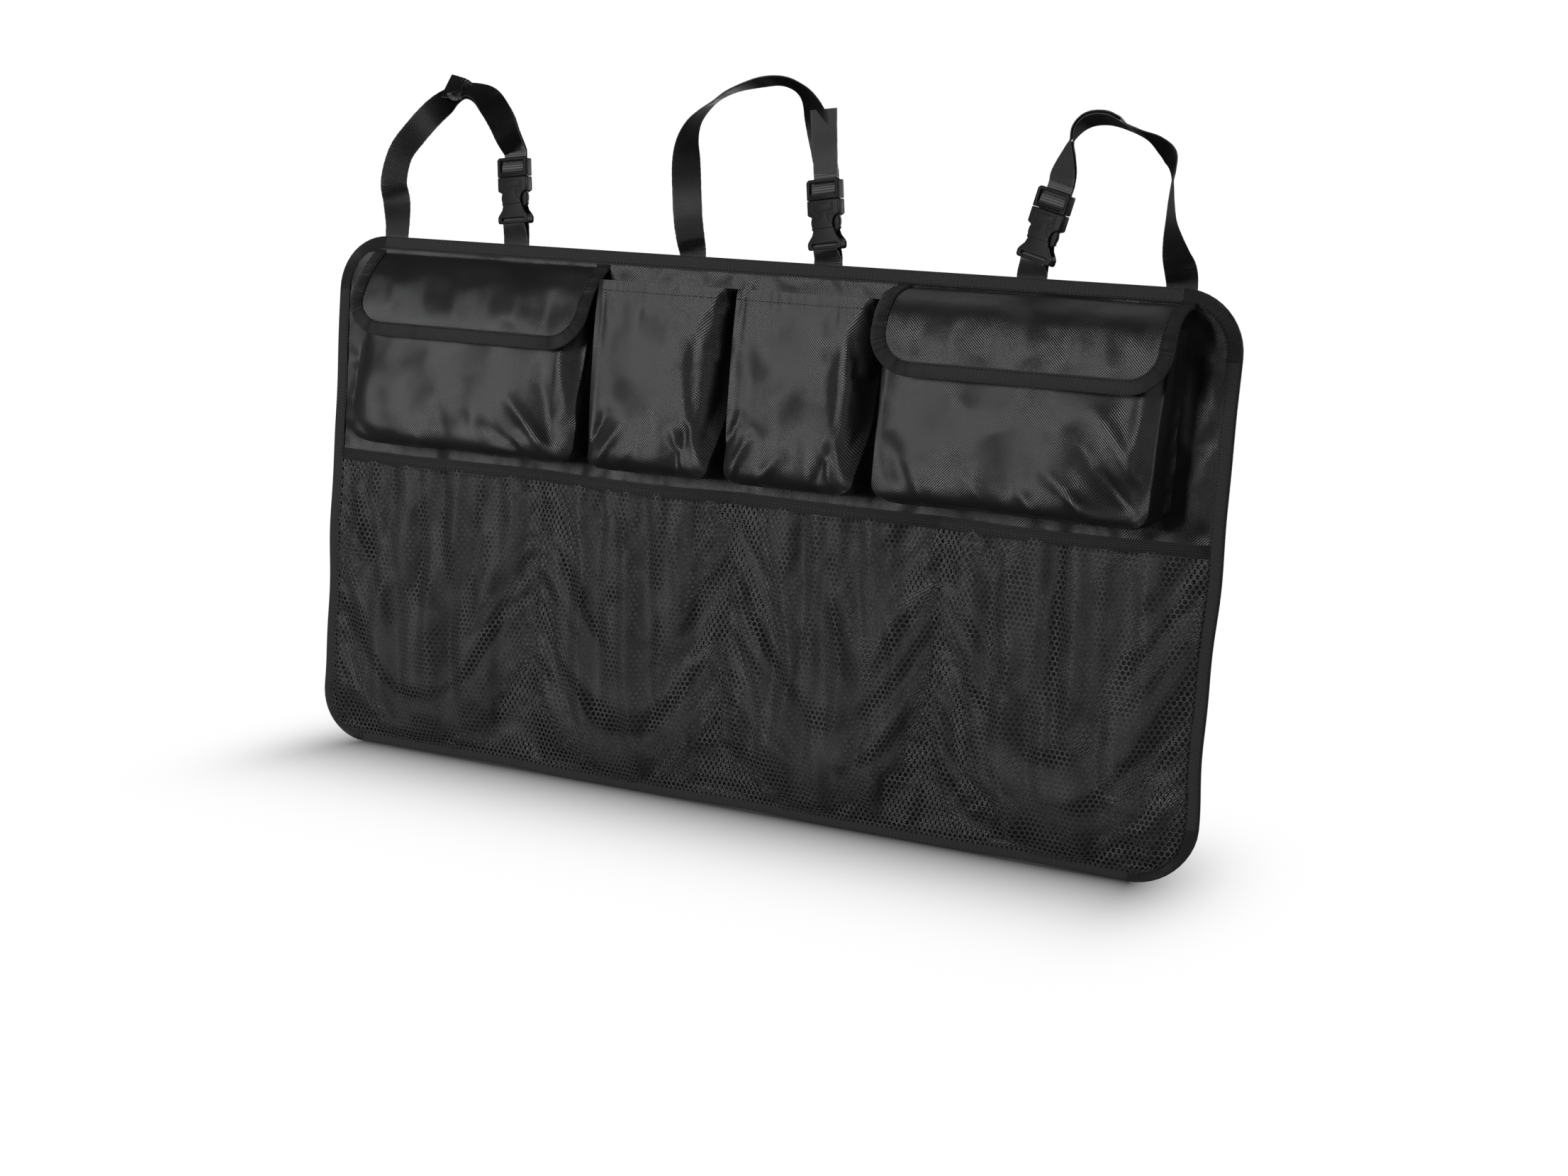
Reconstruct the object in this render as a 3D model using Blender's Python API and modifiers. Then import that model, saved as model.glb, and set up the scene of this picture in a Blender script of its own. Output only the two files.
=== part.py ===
"""Back-seat trunk organiser.

A bound fabric panel carries two flapped pockets, two open pockets and a row of net pockets, and
hangs on three webbing loops with side-release buckles. Metres, +Z up. The pockets face -Y, and
the origin is the middle of the panel's flat back.
"""

import math

import bmesh
import bpy
from mathutils import Matrix, Vector

MM = 0.001

# Panel and the tape bound round its edge
PANEL_W = 840 * MM
PANEL_H = 470 * MM
PANEL_T = 3 * MM
CORNER_R = 50 * MM
GAP = 0.3 * MM
BINDING_W = 12 * MM
BINDING_T = 1 * MM

# Upper pockets: the big ones are placed from the panel's sides, the open ones between them
CLOTH_T = 1 * MM
POCKET_TOP_DROP = 25 * MM
POCKET_H = 155 * MM
BIG_W = 236 * MM
BIG_SIDE_SPACE = 44 * MM
BIG_CORNER_R = 12 * MM
LEFT_DEPTH = 44 * MM
RIGHT_DEPTH = 60 * MM
BIG_CROWN = 4 * MM
OPEN_INNER_X = 5 * MM
OPEN_SPACE = 13 * MM
OPEN_DEPTH_TOP = 35 * MM
OPEN_DEPTH_BOTTOM = 48 * MM
OPEN_ROUND = 9 * MM

# Flaps, their tape and the hook-and-loop that closes them
FLAP_T = 1.2 * MM
FLAP_OVERHANG = 4 * MM
FLAP_DROP = 56 * MM
FLAP_CORNER_R = 32 * MM
FLAP_SHOULDER = 14 * MM
FLAP_SAG = 3 * MM
FLAP_TAPE_W = 10 * MM
FLAP_TAPE_T = 0.8 * MM
GRIP_W = 110 * MM
GRIP_H = 20 * MM
GRIP_T = 1.2 * MM
GRIP_MARGIN = 2 * MM

# Net pockets and the elastic along their tops
NET_TOP_RISE = 277 * MM
NET_OUTER_W = 230 * MM
NET_T = 1 * MM
NET_BULGE = 16 * MM
NET_FOLD = 1.5 * MM
NET_FOLDS = 3
NET_FOOT_SHARE = 0.25
NET_GAP_COLUMNS = 7
NET_GAP_ROWS = 4
NET_GAP_SHARE = 0.72
ELASTIC_W = 13 * MM
ELASTIC_T = 1.6 * MM
ELASTIC_BOW = 13 * MM

# Webbing
WEB_W = 25 * MM
WEB_T = 1.4 * MM
FOOT_LENGTH = 34 * MM
BACK_MARGIN = 2 * MM
BACK_STEP = 0.3 * MM
WEB_PLAY = 1 * MM

# Side-release buckle, measured from the line where its halves meet
BUCKLE_WALL = 3 * MM
BUCKLE_DEPTH = 9 * MM
BUCKLE_ROUND = 1 * MM
END_BAR_H = 3 * MM
END_BAR_BACK = 0.5 * MM
FRAME_BEND = 3 * MM
LADDER_H = 3 * MM
LADDER_T = 2.5 * MM
LADDER_SLOT = 4.5 * MM
SHOULDER_H = 2.5 * MM
SOCKET_LENGTH = 41 * MM
SOCKET_COLLAR = 13 * MM
SOCKET_WAIST = 10.5 * MM
SOCKET_SKIN = 1.2 * MM
CAVITY_DEPTH = 31 * MM
CAVITY_H = 5.2 * MM
PRONG_LENGTH = 27 * MM
PRONG_T = 4.2 * MM
PRONG_W = 6.5 * MM
PRONG_BULGE = 3.5 * MM
GUIDE_W = 6 * MM
GUIDE_T = 3 * MM
FOOT_BAR_H = 2.8 * MM
FOOT_BAR_T = 2.8 * MM
FOOT_SLOT = 3.4 * MM

TOP = PANEL_H / 2
BOTTOM = -PANEL_H / 2
LEFT = -PANEL_W / 2
RIGHT = PANEL_W / 2
FRONT = -PANEL_T
POCKET_TOP = TOP - POCKET_TOP_DROP
POCKET_BOTTOM = POCKET_TOP - POCKET_H
BIG_OUTER_X = RIGHT - BIG_SIDE_SPACE
BIG_INNER_X = BIG_OUTER_X - BIG_W
OPEN_OUTER_X = BIG_INNER_X - OPEN_SPACE
NET_SEAMS_X = (LEFT + NET_OUTER_W, 0.0, RIGHT - NET_OUTER_W)
BUCKLE_W = WEB_W + 2 * WEB_PLAY + 2 * BUCKLE_WALL
LAYER = WEB_T + GAP
FOOT_Y = GAP + WEB_T / 2
OVER_BINDING_Y = BINDING_T + 2 * GAP + WEB_T / 2
BUCKLE_Y = OVER_BINDING_Y + LAYER / 2

# Each loop runs from a foot on the panel's top edge to a buckle. A station on its route is
# (share of the way to the buckle, rise above the panel, twist in degrees). A tail follows the
# loop back over that many stations, and then goes on through stations of its own.
LOOPS = {
    "left": {
        "foot_x": LEFT + 57 * MM,
        "buckle_x": LEFT + 179 * MM,
        "buckle_foot_x": LEFT + 184.5 * MM,
        "buckle_rise": 59 * MM,
        "tilt": -5.5,
        "turn": -10.0,
        "route": [
            (0.000, 14 * MM, 5), (-0.016, 32 * MM, 20), (-0.050, 50 * MM, 14),
            (0.000, 75 * MM, 6), (0.130, 95 * MM, 4), (0.270, 112 * MM, 0),
            (0.385, 122 * MM, -12), (0.490, 128.5 * MM, -38), (0.600, 131 * MM, -58),
            (0.705, 127.5 * MM, -50), (0.790, 118 * MM, -28), (0.868, 106 * MM, -12),
            (0.925, 94 * MM, 2),
        ],
        "tail_stations": 6,
        "tail_end": [(0.480, 134 * MM, -40), (0.375, 136 * MM, -30)],
    },
    "middle": {
        "foot_x": -58.5 * MM,
        "buckle_x": 61 * MM,
        "buckle_foot_x": 67.6 * MM,
        "buckle_rise": 53 * MM,
        "tilt": -7.0,
        "turn": -15.0,
        "route": [
            (-0.028, 15 * MM, 12), (-0.058, 32 * MM, 20), (-0.085, 59 * MM, 25),
            (-0.100, 80 * MM, 45), (-0.098, 97 * MM, 70), (-0.060, 111 * MM, 88),
            (0.009, 121 * MM, 98), (0.111, 130.5 * MM, 104), (0.240, 139 * MM, 95),
            (0.438, 146 * MM, 82), (0.562, 148 * MM, 78), (0.667, 146 * MM, 70),
            (0.745, 141 * MM, 60), (0.812, 133 * MM, 42), (0.868, 121 * MM, 22),
            (0.915, 106 * MM, 14), (0.950, 92 * MM, 15),
        ],
        "tail_stations": 0,
        "tail_end": [(0.975, 92 * MM, 12), (0.958, 108 * MM, 8), (0.942, 126 * MM, 4)],
    },
    "right": {
        "foot_x": RIGHT - 53.5 * MM,
        "buckle_x": RIGHT - 164 * MM,
        "buckle_foot_x": RIGHT - 175 * MM,
        "buckle_rise": 53 * MM,
        "tilt": 14.0,
        "turn": -20.0,
        "route": [
            (0.020, 13 * MM, 20), (0.060, 24 * MM, 45), (0.095, 37 * MM, 68),
            (0.120, 50 * MM, 86), (0.132, 64 * MM, 95), (0.136, 78 * MM, 103),
            (0.140, 89 * MM, 114), (0.170, 99 * MM, 128), (0.250, 107 * MM, 120),
            (0.362, 114 * MM, 102), (0.498, 120 * MM, 99), (0.633, 125 * MM, 105),
            (0.760, 124 * MM, 103), (0.846, 117 * MM, 90), (0.888, 106 * MM, 68),
            (0.908, 94 * MM, 44), (0.925, 83 * MM, 24),
        ],
        "tail_stations": 7,
        "tail_end": [],
    },
}
ROUTE_STEPS = 3
TAIL_LIFT = 2.6 * MM


def clear_scene():
    for obj in list(bpy.data.objects):
        bpy.data.objects.remove(obj)


def new_collection(name):
    collection = bpy.data.collections.new(name)
    bpy.context.scene.collection.children.link(collection)
    return collection


def new_material(name, colour, roughness):
    material = bpy.data.materials.new(name)
    material.use_nodes = True
    shader = material.node_tree.nodes["Principled BSDF"]
    shader.inputs["Base Color"].default_value = (*colour, 1.0)
    shader.inputs["Roughness"].default_value = roughness
    shader.inputs["Metallic"].default_value = 0.0
    return material


def new_object(name, mesh, material=None, matrix=None):
    """A node of the part, or with no material a cutter."""
    obj = bpy.data.objects.new(name, mesh)
    if material:
        mesh.materials.append(material)
    (parts if material else cutters).objects.link(obj)
    obj.hide_render = material is None
    obj.display_type = "TEXTURED" if material else "WIRE"
    if matrix:
        obj.matrix_world = matrix
    return obj


def smooth(obj, degrees=35):
    obj.data.shade_smooth()
    obj.data.set_sharp_from_angle(angle=math.radians(degrees))


def mesh_from(name, points, faces):
    mesh = bpy.data.meshes.new(name)
    mesh.from_pydata([tuple(p) for p in points], [], faces)
    mesh.update()
    return mesh


def loft(name, rings, closed=False):
    """A skin through rings of points, with its ends capped unless it closes on itself."""
    sides = len(rings[0])
    count = len(rings)
    faces = []
    for i in range(count if closed else count - 1):
        here, there = i * sides, (i + 1) % count * sides
        for j in range(sides):
            k = (j + 1) % sides
            faces.append((here + j, here + k, there + k, there + j))
    if not closed:
        faces.append(tuple(reversed(range(sides))))
        faces.append(tuple(range((count - 1) * sides, count * sides)))
    mesh = mesh_from(name, [p for ring in rings for p in ring], faces)
    face_outwards(mesh)
    return mesh


def face_outwards(mesh):
    work = bmesh.new()
    work.from_mesh(mesh)
    bmesh.ops.recalc_face_normals(work, faces=work.faces)
    if work.calc_volume(signed=True) < 0:
        bmesh.ops.reverse_faces(work, faces=work.faces)
    work.to_mesh(mesh)
    work.free()


def grid(name, rows, left_out=()):
    """An open sheet through rows of points; left_out are the (row, column) quads to miss."""
    width = len(rows[0])
    faces = []
    for i in range(len(rows) - 1):
        for j in range(width - 1):
            if (i, j) not in left_out:
                a = i * width + j
                faces.append((a, a + 1, a + width + 1, a + width))
    return mesh_from(name, [p for row in rows for p in row], faces)


def sheet(name, rows, thickness, material, left_out=()):
    """A cloth piece: an open sheet given its thickness half on each side."""
    obj = new_object(name, grid(name, rows, left_out), material)
    solid = obj.modifiers.new("Thickness", "SOLIDIFY")
    solid.thickness = thickness
    solid.offset = 0
    smooth(obj)
    return obj


def box(low, high):
    work = bmesh.new()
    bmesh.ops.create_cube(work, size=1)
    size = Vector(high) - Vector(low)
    middle = (Vector(high) + Vector(low)) / 2
    bmesh.ops.transform(work, matrix=Matrix.Translation(middle) @ Matrix.Diagonal((*size, 1)), verts=work.verts)
    mesh = bpy.data.meshes.new("box")
    work.to_mesh(mesh)
    work.free()
    return mesh


def plate(name, outlines, thickness, rounding):
    """A flat plate in XZ from closed outlines, the first outside and the rest holes."""
    curve = bpy.data.curves.new(name, "CURVE")
    curve.dimensions = "2D"
    curve.fill_mode = "BOTH"
    curve.extrude = thickness / 2 - rounding
    curve.bevel_depth = rounding
    curve.bevel_resolution = 1
    curve.offset = -rounding
    for outline in outlines:
        spline = curve.splines.new("POLY")
        spline.points.add(len(outline) - 1)
        for point, (x, z) in zip(spline.points, outline):
            point.co = (x, z, 0, 1)
        spline.use_cyclic_u = True
    obj = bpy.data.objects.new(name, curve)
    bpy.context.scene.collection.objects.link(obj)
    graph = bpy.context.evaluated_depsgraph_get()
    mesh = bpy.data.meshes.new_from_object(obj.evaluated_get(graph))
    bpy.data.objects.remove(obj)
    work = bmesh.new()
    work.from_mesh(mesh)
    bmesh.ops.remove_doubles(work, verts=work.verts, dist=1e-6)
    bmesh.ops.rotate(work, cent=(0, 0, 0), matrix=Matrix.Rotation(math.pi / 2, 3, "X"), verts=work.verts)
    work.to_mesh(mesh)
    work.free()
    face_outwards(mesh)
    return mesh


def boolean(obj, operation, mesh, name):
    other = new_object(name, mesh, matrix=obj.matrix_world)
    modifier = obj.modifiers.new(name, "BOOLEAN")
    modifier.operation = operation
    modifier.object = other
    modifier.solver = "EXACT"


def arc(x, z, radius, start, end, steps):
    """Points on a circle in XZ, from one angle in degrees to another."""
    angles = [math.radians(start + (end - start) * i / steps) for i in range(steps + 1)]
    return [(x + radius * math.cos(a), z + radius * math.sin(a)) for a in angles]


def spline(stations, steps):
    """Catmull-Rom points through stations, each a tuple of vectors."""
    ends = [stations[0], *stations, stations[-1]]
    out = []
    for i in range(1, len(ends) - 2):
        for j in range(steps):
            out.append(tuple(catmull(*columns, j / steps) for columns in zip(*ends[i - 1:i + 3])))
    out.append(stations[-1])
    return out


def catmull(a, b, c, d, t):
    return 0.5 * (2 * b + (c - a) * t + (2 * a - 5 * b + 4 * c - d) * t**2 + (3 * b - a - 3 * c + d) * t**3)


def edge_outline(inset, steps=8):
    """The panel's rounded outline in XZ and its outward directions, moved in by inset."""
    x, z = PANEL_W / 2 - CORNER_R, PANEL_H / 2 - CORNER_R
    out = []
    for cx, cz, start in ((x, z, 0), (-x, z, 90), (-x, -z, 180), (x, -z, 270)):
        for px, pz in arc(0, 0, 1, start, start + 90, steps):
            radius = CORNER_R - inset
            out.append(((cx + px * radius, cz + pz * radius), Vector((px, 0, pz))))
    return out


def make_panel():
    inset = BINDING_T + GAP
    outline = [point for point, _ in edge_outline(inset)]
    mesh = plate("back_panel", [outline], PANEL_T - BACK_STEP, 0.4 * MM)
    raise_bare_back(mesh)
    panel = new_object("back_panel", mesh, fabric)
    panel.location = (0, (FRONT - BACK_STEP) / 2, 0)
    smooth(panel)


def raise_bare_back(mesh):
    """Step the back up inside the tape and the strap feet, which press the cloth in beside it."""
    from_corner = CORNER_R - (CORNER_R - BINDING_W - BACK_MARGIN) * math.sqrt(0.5)
    side = RIGHT - from_corner
    work = bmesh.new()
    work.from_mesh(mesh)
    bmesh.ops.dissolve_limit(work, angle_limit=math.radians(0.1), verts=[], edges=work.edges)
    for place, across in (
        ((side, 0, 0), (1, 0, 0)),
        ((-side, 0, 0), (1, 0, 0)),
        ((0, 0, TOP - FOOT_LENGTH - BACK_MARGIN), (0, 0, 1)),
        ((0, 0, BOTTOM + from_corner), (0, 0, 1)),
    ):
        everything = [*work.verts, *work.edges, *work.faces]
        bmesh.ops.bisect_plane(work, geom=everything, plane_co=place, plane_no=across)
    back = [face for face in work.faces if face.normal.y > 0.9]
    bare = min(back, key=lambda face: face.calc_center_median().length)
    raised = bmesh.ops.extrude_face_region(work, geom=[bare])["geom"]
    corners = [item for item in raised if isinstance(item, bmesh.types.BMVert)]
    bmesh.ops.translate(work, vec=(0, BACK_STEP, 0), verts=corners)
    bmesh.ops.delete(work, geom=[bare], context="FACES_ONLY")
    work.to_mesh(mesh)
    work.free()


def make_edge_binding():
    """Tape folded over the panel's edge: a U section swept round the outline."""
    inner_front, outer_front = FRONT - GAP, FRONT - GAP - BINDING_T
    inner_back, outer_back = GAP, GAP + BINDING_T
    fold = BINDING_T / 2
    section = [
        (-BINDING_W, outer_front), (-fold, outer_front), (0, outer_front + fold),
        (0, outer_back - fold), (-fold, outer_back), (-BINDING_W, outer_back),
        (-BINDING_W, inner_back), (-BINDING_T, inner_back),
        (-BINDING_T, inner_front), (-BINDING_W, inner_front),
    ]
    rings = []
    for (x, z), out in edge_outline(0):
        rings.append([Vector((x, y, z)) + out * r for r, y in section])
    smooth(new_object("edge_binding", loft("edge_binding", rings, closed=True), tape))


def apron(half_width, length, radius, place, columns, rows, corner_steps=4):
    """Rows of points on a sheet that hangs down from s = 0 and has its lower corners rounded."""
    straight = length - radius
    marks = [straight * i / rows for i in range(rows)]
    marks += [straight + radius * math.sin(math.pi / 2 * i / corner_steps) for i in range(corner_steps + 1)]
    out = []
    for s in marks:
        over = max(0.0, s - straight)
        half = half_width - radius + math.sqrt(max(0.0, radius**2 - over**2))
        out.append([place(half * (2 * j / columns - 1), s) for j in range(columns + 1)])
    return out


def rim(rows):
    """The free edge of an apron: down its left side, along the bottom and up its right side."""
    left = [row[0] for row in rows]
    right = [row[-1] for row in rows]
    return left + rows[-1][1:-1] + right[::-1]


def big_depth(depth, s):
    """How far a flapped pocket's front stands off the panel, s below its mouth."""
    return depth + BIG_CROWN * math.sin(math.pi * min(1.0, s / POCKET_H))


def make_big_pocket(side, sign, depth):
    middle = sign * (BIG_INNER_X + BIG_OUTER_X) / 2
    half = (BIG_OUTER_X - BIG_INNER_X) / 2

    def front(x, s):
        return Vector((middle + x, FRONT - big_depth(depth, s), POCKET_TOP - s))

    rows = apron(half, POCKET_H, BIG_CORNER_R, front, 6, 6)
    sheet(f"{side}_pocket_front", rows, CLOTH_T, fabric)
    # The gusset is one strip round the sides and bottom, set in so that the front lies on its rim.
    inner = apron(half - CLOTH_T / 2, POCKET_H - CLOTH_T / 2, BIG_CORNER_R, front, 6, 6)
    strip = []
    for point in rim(inner):
        near = Vector((point.x, FRONT - GAP, point.z))
        far = Vector((point.x, point.y + CLOTH_T / 2 + GAP, point.z))
        strip.append([near, (near + far) / 2, far])
    sheet(f"{side}_pocket_gusset", strip, CLOTH_T, fabric)


def flap_clearance():
    """From the pocket's front to the flap's middle: both hook-and-loop halves and their gaps."""
    return CLOTH_T / 2 + 2 * GRIP_T + 3 * GAP + FLAP_T / 2


def flap_path(depth):
    """The flap's section in YZ: out from the top edge, over the pocket and down its front."""
    seam_y = FRONT - GAP
    seam_z = -binding_inner_z(BIG_OUTER_X + FLAP_OVERHANG) - 3 * GAP - FLAP_T / 2 - FLAP_TAPE_T
    out = depth + flap_clearance()
    shoulder = POCKET_TOP - FLAP_SHOULDER
    points = [
        Vector((seam_y, 0, seam_z)),
        Vector((FRONT - 0.30 * depth, 0, seam_z)),
        Vector((FRONT - 0.75 * depth, 0, seam_z - FLAP_SAG)),
        Vector((FRONT - out + FLAP_T, 0, POCKET_TOP + FLAP_T)),
    ]
    end = POCKET_TOP - FLAP_DROP
    for i in range(5):
        z = shoulder + (end - shoulder) * i / 4
        points.append(Vector((FRONT - big_depth(depth, POCKET_TOP - z) - flap_clearance(), 0, z)))
    return [point for (point,) in spline([(p,) for p in points], 4)]


def along(path, s):
    """The point at distance s along a polyline, which goes straight on past its end."""
    for a, b in zip(path, path[1:]):
        step = (b - a).length
        if s <= step or b is path[-1]:
            return a + (b - a) * (s / step)
        s -= step
    return path[-1]


def length_of(path):
    return sum((b - a).length for a, b in zip(path, path[1:]))


def make_flap(side, sign, depth):
    middle = sign * (BIG_INNER_X + BIG_OUTER_X) / 2
    half = (BIG_OUTER_X - BIG_INNER_X) / 2 + FLAP_OVERHANG
    path = flap_path(depth)
    length = length_of(path)

    def place(x, s):
        point = along(path, s)
        return Vector((middle + x, point.x, point.z))

    inset = FLAP_TAPE_T + GAP
    cloth = apron(half - inset, length - inset, FLAP_CORNER_R - inset, place, 6, 12)
    sheet(f"{side}_flap", cloth, FLAP_T, fabric)
    make_flap_binding(side, apron(half, length, FLAP_CORNER_R, place, 6, 12))


def make_flap_binding(side, rows):
    """Tape folded over the flap's free edge."""
    edge = rim(rows)
    middle = sum(rows[len(rows) // 2], Vector()) / len(rows[0])
    out_face, in_face = FLAP_T / 2 + GAP + FLAP_TAPE_T, FLAP_T / 2 + GAP
    section = [
        (FLAP_TAPE_W, out_face), (0, out_face), (0, -out_face), (FLAP_TAPE_W, -out_face),
        (FLAP_TAPE_W, -in_face), (FLAP_TAPE_T, -in_face), (FLAP_TAPE_T, in_face), (FLAP_TAPE_W, in_face),
    ]
    normals = edge_normals(rows)
    rings = []
    for i, point in enumerate(edge):
        before, after = edge[max(0, i - 1)], edge[min(len(edge) - 1, i + 1)]
        run = (after - before).normalized()
        normal = normals[i]
        inward = normal.cross(run).normalized()
        if inward.dot(middle - point) < 0:
            inward.negate()
        rings.append([point + inward * r + normal * n for r, n in section])
    smooth(new_object(f"{side}_flap_binding", loft(f"{side}_flap_binding", rings), tape))


def edge_normals(rows):
    """The sheet's normal at each point of its rim, pointing to the front."""
    out = []
    for i in range(len(rows)):
        a, b = rows[max(0, i - 1)], rows[min(len(rows) - 1, i + 1)]
        down = b[len(b) // 2] - a[len(a) // 2]
        normal = down.cross(Vector((1, 0, 0))).normalized()
        out.append(normal if normal.y < 0 or normal.z > 0.5 else -normal)
    return out + [out[-1]] * (len(rows[-1]) - 2) + out[::-1]


def make_grip(side, sign, depth):
    """The hook half under the flap and the loop half on the pocket's front."""
    middle = sign * (BIG_INNER_X + BIG_OUTER_X) / 2
    first = FLAP_DROP - FLAP_TAPE_W - GRIP_H - GRIP_MARGIN
    off_front = CLOTH_T / 2 + GAP + GRIP_T / 2
    for name, off in (("loop_tape", off_front), ("hook_tape", off_front + GRIP_T + GAP)):
        rows = []
        for i in range(4):
            s = first + GRIP_H * i / 3
            y = FRONT - big_depth(depth, s) - off
            rows.append([Vector((middle + x * GRIP_W / 2, y, POCKET_TOP - s)) for x in (-1, 0, 1)])
        sheet(f"{side}_{name}", rows, GRIP_T, grip)


def make_open_pocket(name, sign):
    """One cloth folded into a front, two sides and a bottom, deeper at its foot than at its mouth."""
    low = Vector((OPEN_INNER_X, -1, POCKET_BOTTOM))
    high = Vector((OPEN_OUTER_X, 0, POCKET_TOP))
    work = bmesh.new()
    work.from_mesh(box(low, high))
    for vert in work.verts:
        depth = OPEN_DEPTH_TOP if vert.co.z > (low.z + high.z) / 2 else OPEN_DEPTH_BOTTOM
        vert.co.y = FRONT - (GAP if vert.co.y > -0.5 else depth)
    open_faces = [f for f in work.faces if f.normal.z > 0.9 or f.calc_center_median().y > FRONT - 2 * GAP]
    bmesh.ops.delete(work, geom=open_faces, context="FACES_ONLY")
    folds = [e for e in work.edges if len(e.link_faces) == 2]
    bmesh.ops.bevel(work, geom=folds, offset=OPEN_ROUND, segments=3, profile=0.5, affect="EDGES")
    if sign < 0:
        bmesh.ops.scale(work, vec=(-1, 1, 1), verts=work.verts)
        bmesh.ops.reverse_faces(work, faces=work.faces)
    mesh = bpy.data.meshes.new(name)
    work.to_mesh(mesh)
    work.free()
    obj = new_object(name, mesh, fabric)
    solid = obj.modifiers.new("Thickness", "SOLIDIFY")
    solid.thickness = CLOTH_T
    solid.offset = -1
    smooth(obj)


def net_edge_x():
    return PANEL_W / 2 - BINDING_W - GAP


def net_spans():
    marks = (-net_edge_x(), *NET_SEAMS_X, net_edge_x())
    return list(zip(marks, marks[1:]))


def bow(x, amount):
    """How far a piece sewn at the net's seams stands off the panel between them."""
    for low, high in net_spans():
        if low <= x <= high:
            share = (x - low) / (high - low)
            return amount * math.sin(math.pi * share) ** 0.7
    return 0.0


def binding_inner_z(x):
    """The inner edge of the bottom binding at x, which rises round the corners."""
    radius = CORNER_R - BINDING_W - GAP
    over = abs(x) - (net_edge_x() - radius)
    low = BOTTOM + BINDING_W + GAP
    if over <= 0:
        return low
    return low + radius - math.sqrt(max(0.0, radius**2 - over**2))


def elastic_bottom():
    return BOTTOM + NET_TOP_RISE - ELASTIC_W


def make_net():
    """A gathered net: one wall with gaps, sewn down at the seams, the sides and the bottom."""
    top = elastic_bottom() - GAP
    strand = (1 - NET_GAP_SHARE) / 2
    shares = [0.0]
    for i in range(NET_GAP_COLUMNS):
        shares += [(i + strand) / NET_GAP_COLUMNS, (i + 1 - strand) / NET_GAP_COLUMNS]
    heights = [1.0]
    for i in range(NET_GAP_ROWS):
        high, low = 1 - i / NET_GAP_ROWS, 1 - (i + 1) / NET_GAP_ROWS
        pad = strand / NET_GAP_ROWS
        heights += [high - pad, low + pad]
    heights.append(0.0)
    columns = []
    for low, high in net_spans():
        columns += [(low + (high - low) * share, share) for share in shares]
    columns.append((net_edge_x(), 0.0))
    rest = GAP + NET_T / 2
    rows = []
    for height in heights:
        row = []
        for x, share in columns:
            z = binding_inner_z(x) + (top - binding_inner_z(x)) * height
            swell = ELASTIC_BOW + (NET_BULGE - ELASTIC_BOW) * math.sin(math.pi * height)
            fold = NET_FOLD * math.sin(2 * math.pi * NET_FOLDS * share) * math.sin(math.pi * share)
            off = (bow(x, swell) + fold) * min(1.0, height / NET_FOOT_SHARE)
            row.append(Vector((x, FRONT - rest - max(0.0, off), z)))
        rows.append(row)
    per_span = len(shares)
    gaps = set()
    for i in range(NET_GAP_ROWS):
        for span in range(len(net_spans())):
            for j in range(NET_GAP_COLUMNS):
                gaps.add((2 * i + 1, span * per_span + 2 * j + 1))
    sheet("net_panel", rows, NET_T, net, gaps)


def make_elastic():
    """The band along the net's top edge, bowed off the panel between the seams."""
    steps = 8
    xs = []
    for low, high in net_spans():
        xs += [low + (high - low) * i / steps for i in range(steps)]
    xs.append(net_edge_x())
    rest = GAP + ELASTIC_T / 2
    rows = []
    for z in (elastic_bottom() + ELASTIC_W, elastic_bottom()):
        rows.append([Vector((x, FRONT - rest - bow(x, ELASTIC_BOW), z)) for x in xs])
    sheet("elastic_band", rows, ELASTIC_T, tape)


def buckle_matrix(loop):
    place = Matrix.Translation((loop["buckle_x"], BUCKLE_Y, TOP + loop["buckle_rise"]))
    turn = Matrix.Rotation(math.radians(loop["turn"]), 4, "Z")
    return place @ Matrix.Rotation(math.radians(loop["tilt"]), 4, "Y") @ turn


def ladder_low():
    """The underside of the bar that the webbing turns round."""
    return SHOULDER_H + LADDER_SLOT - WEB_T / 2


def plug_height():
    return ladder_low() + LADDER_H + LADDER_SLOT + END_BAR_H


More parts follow.
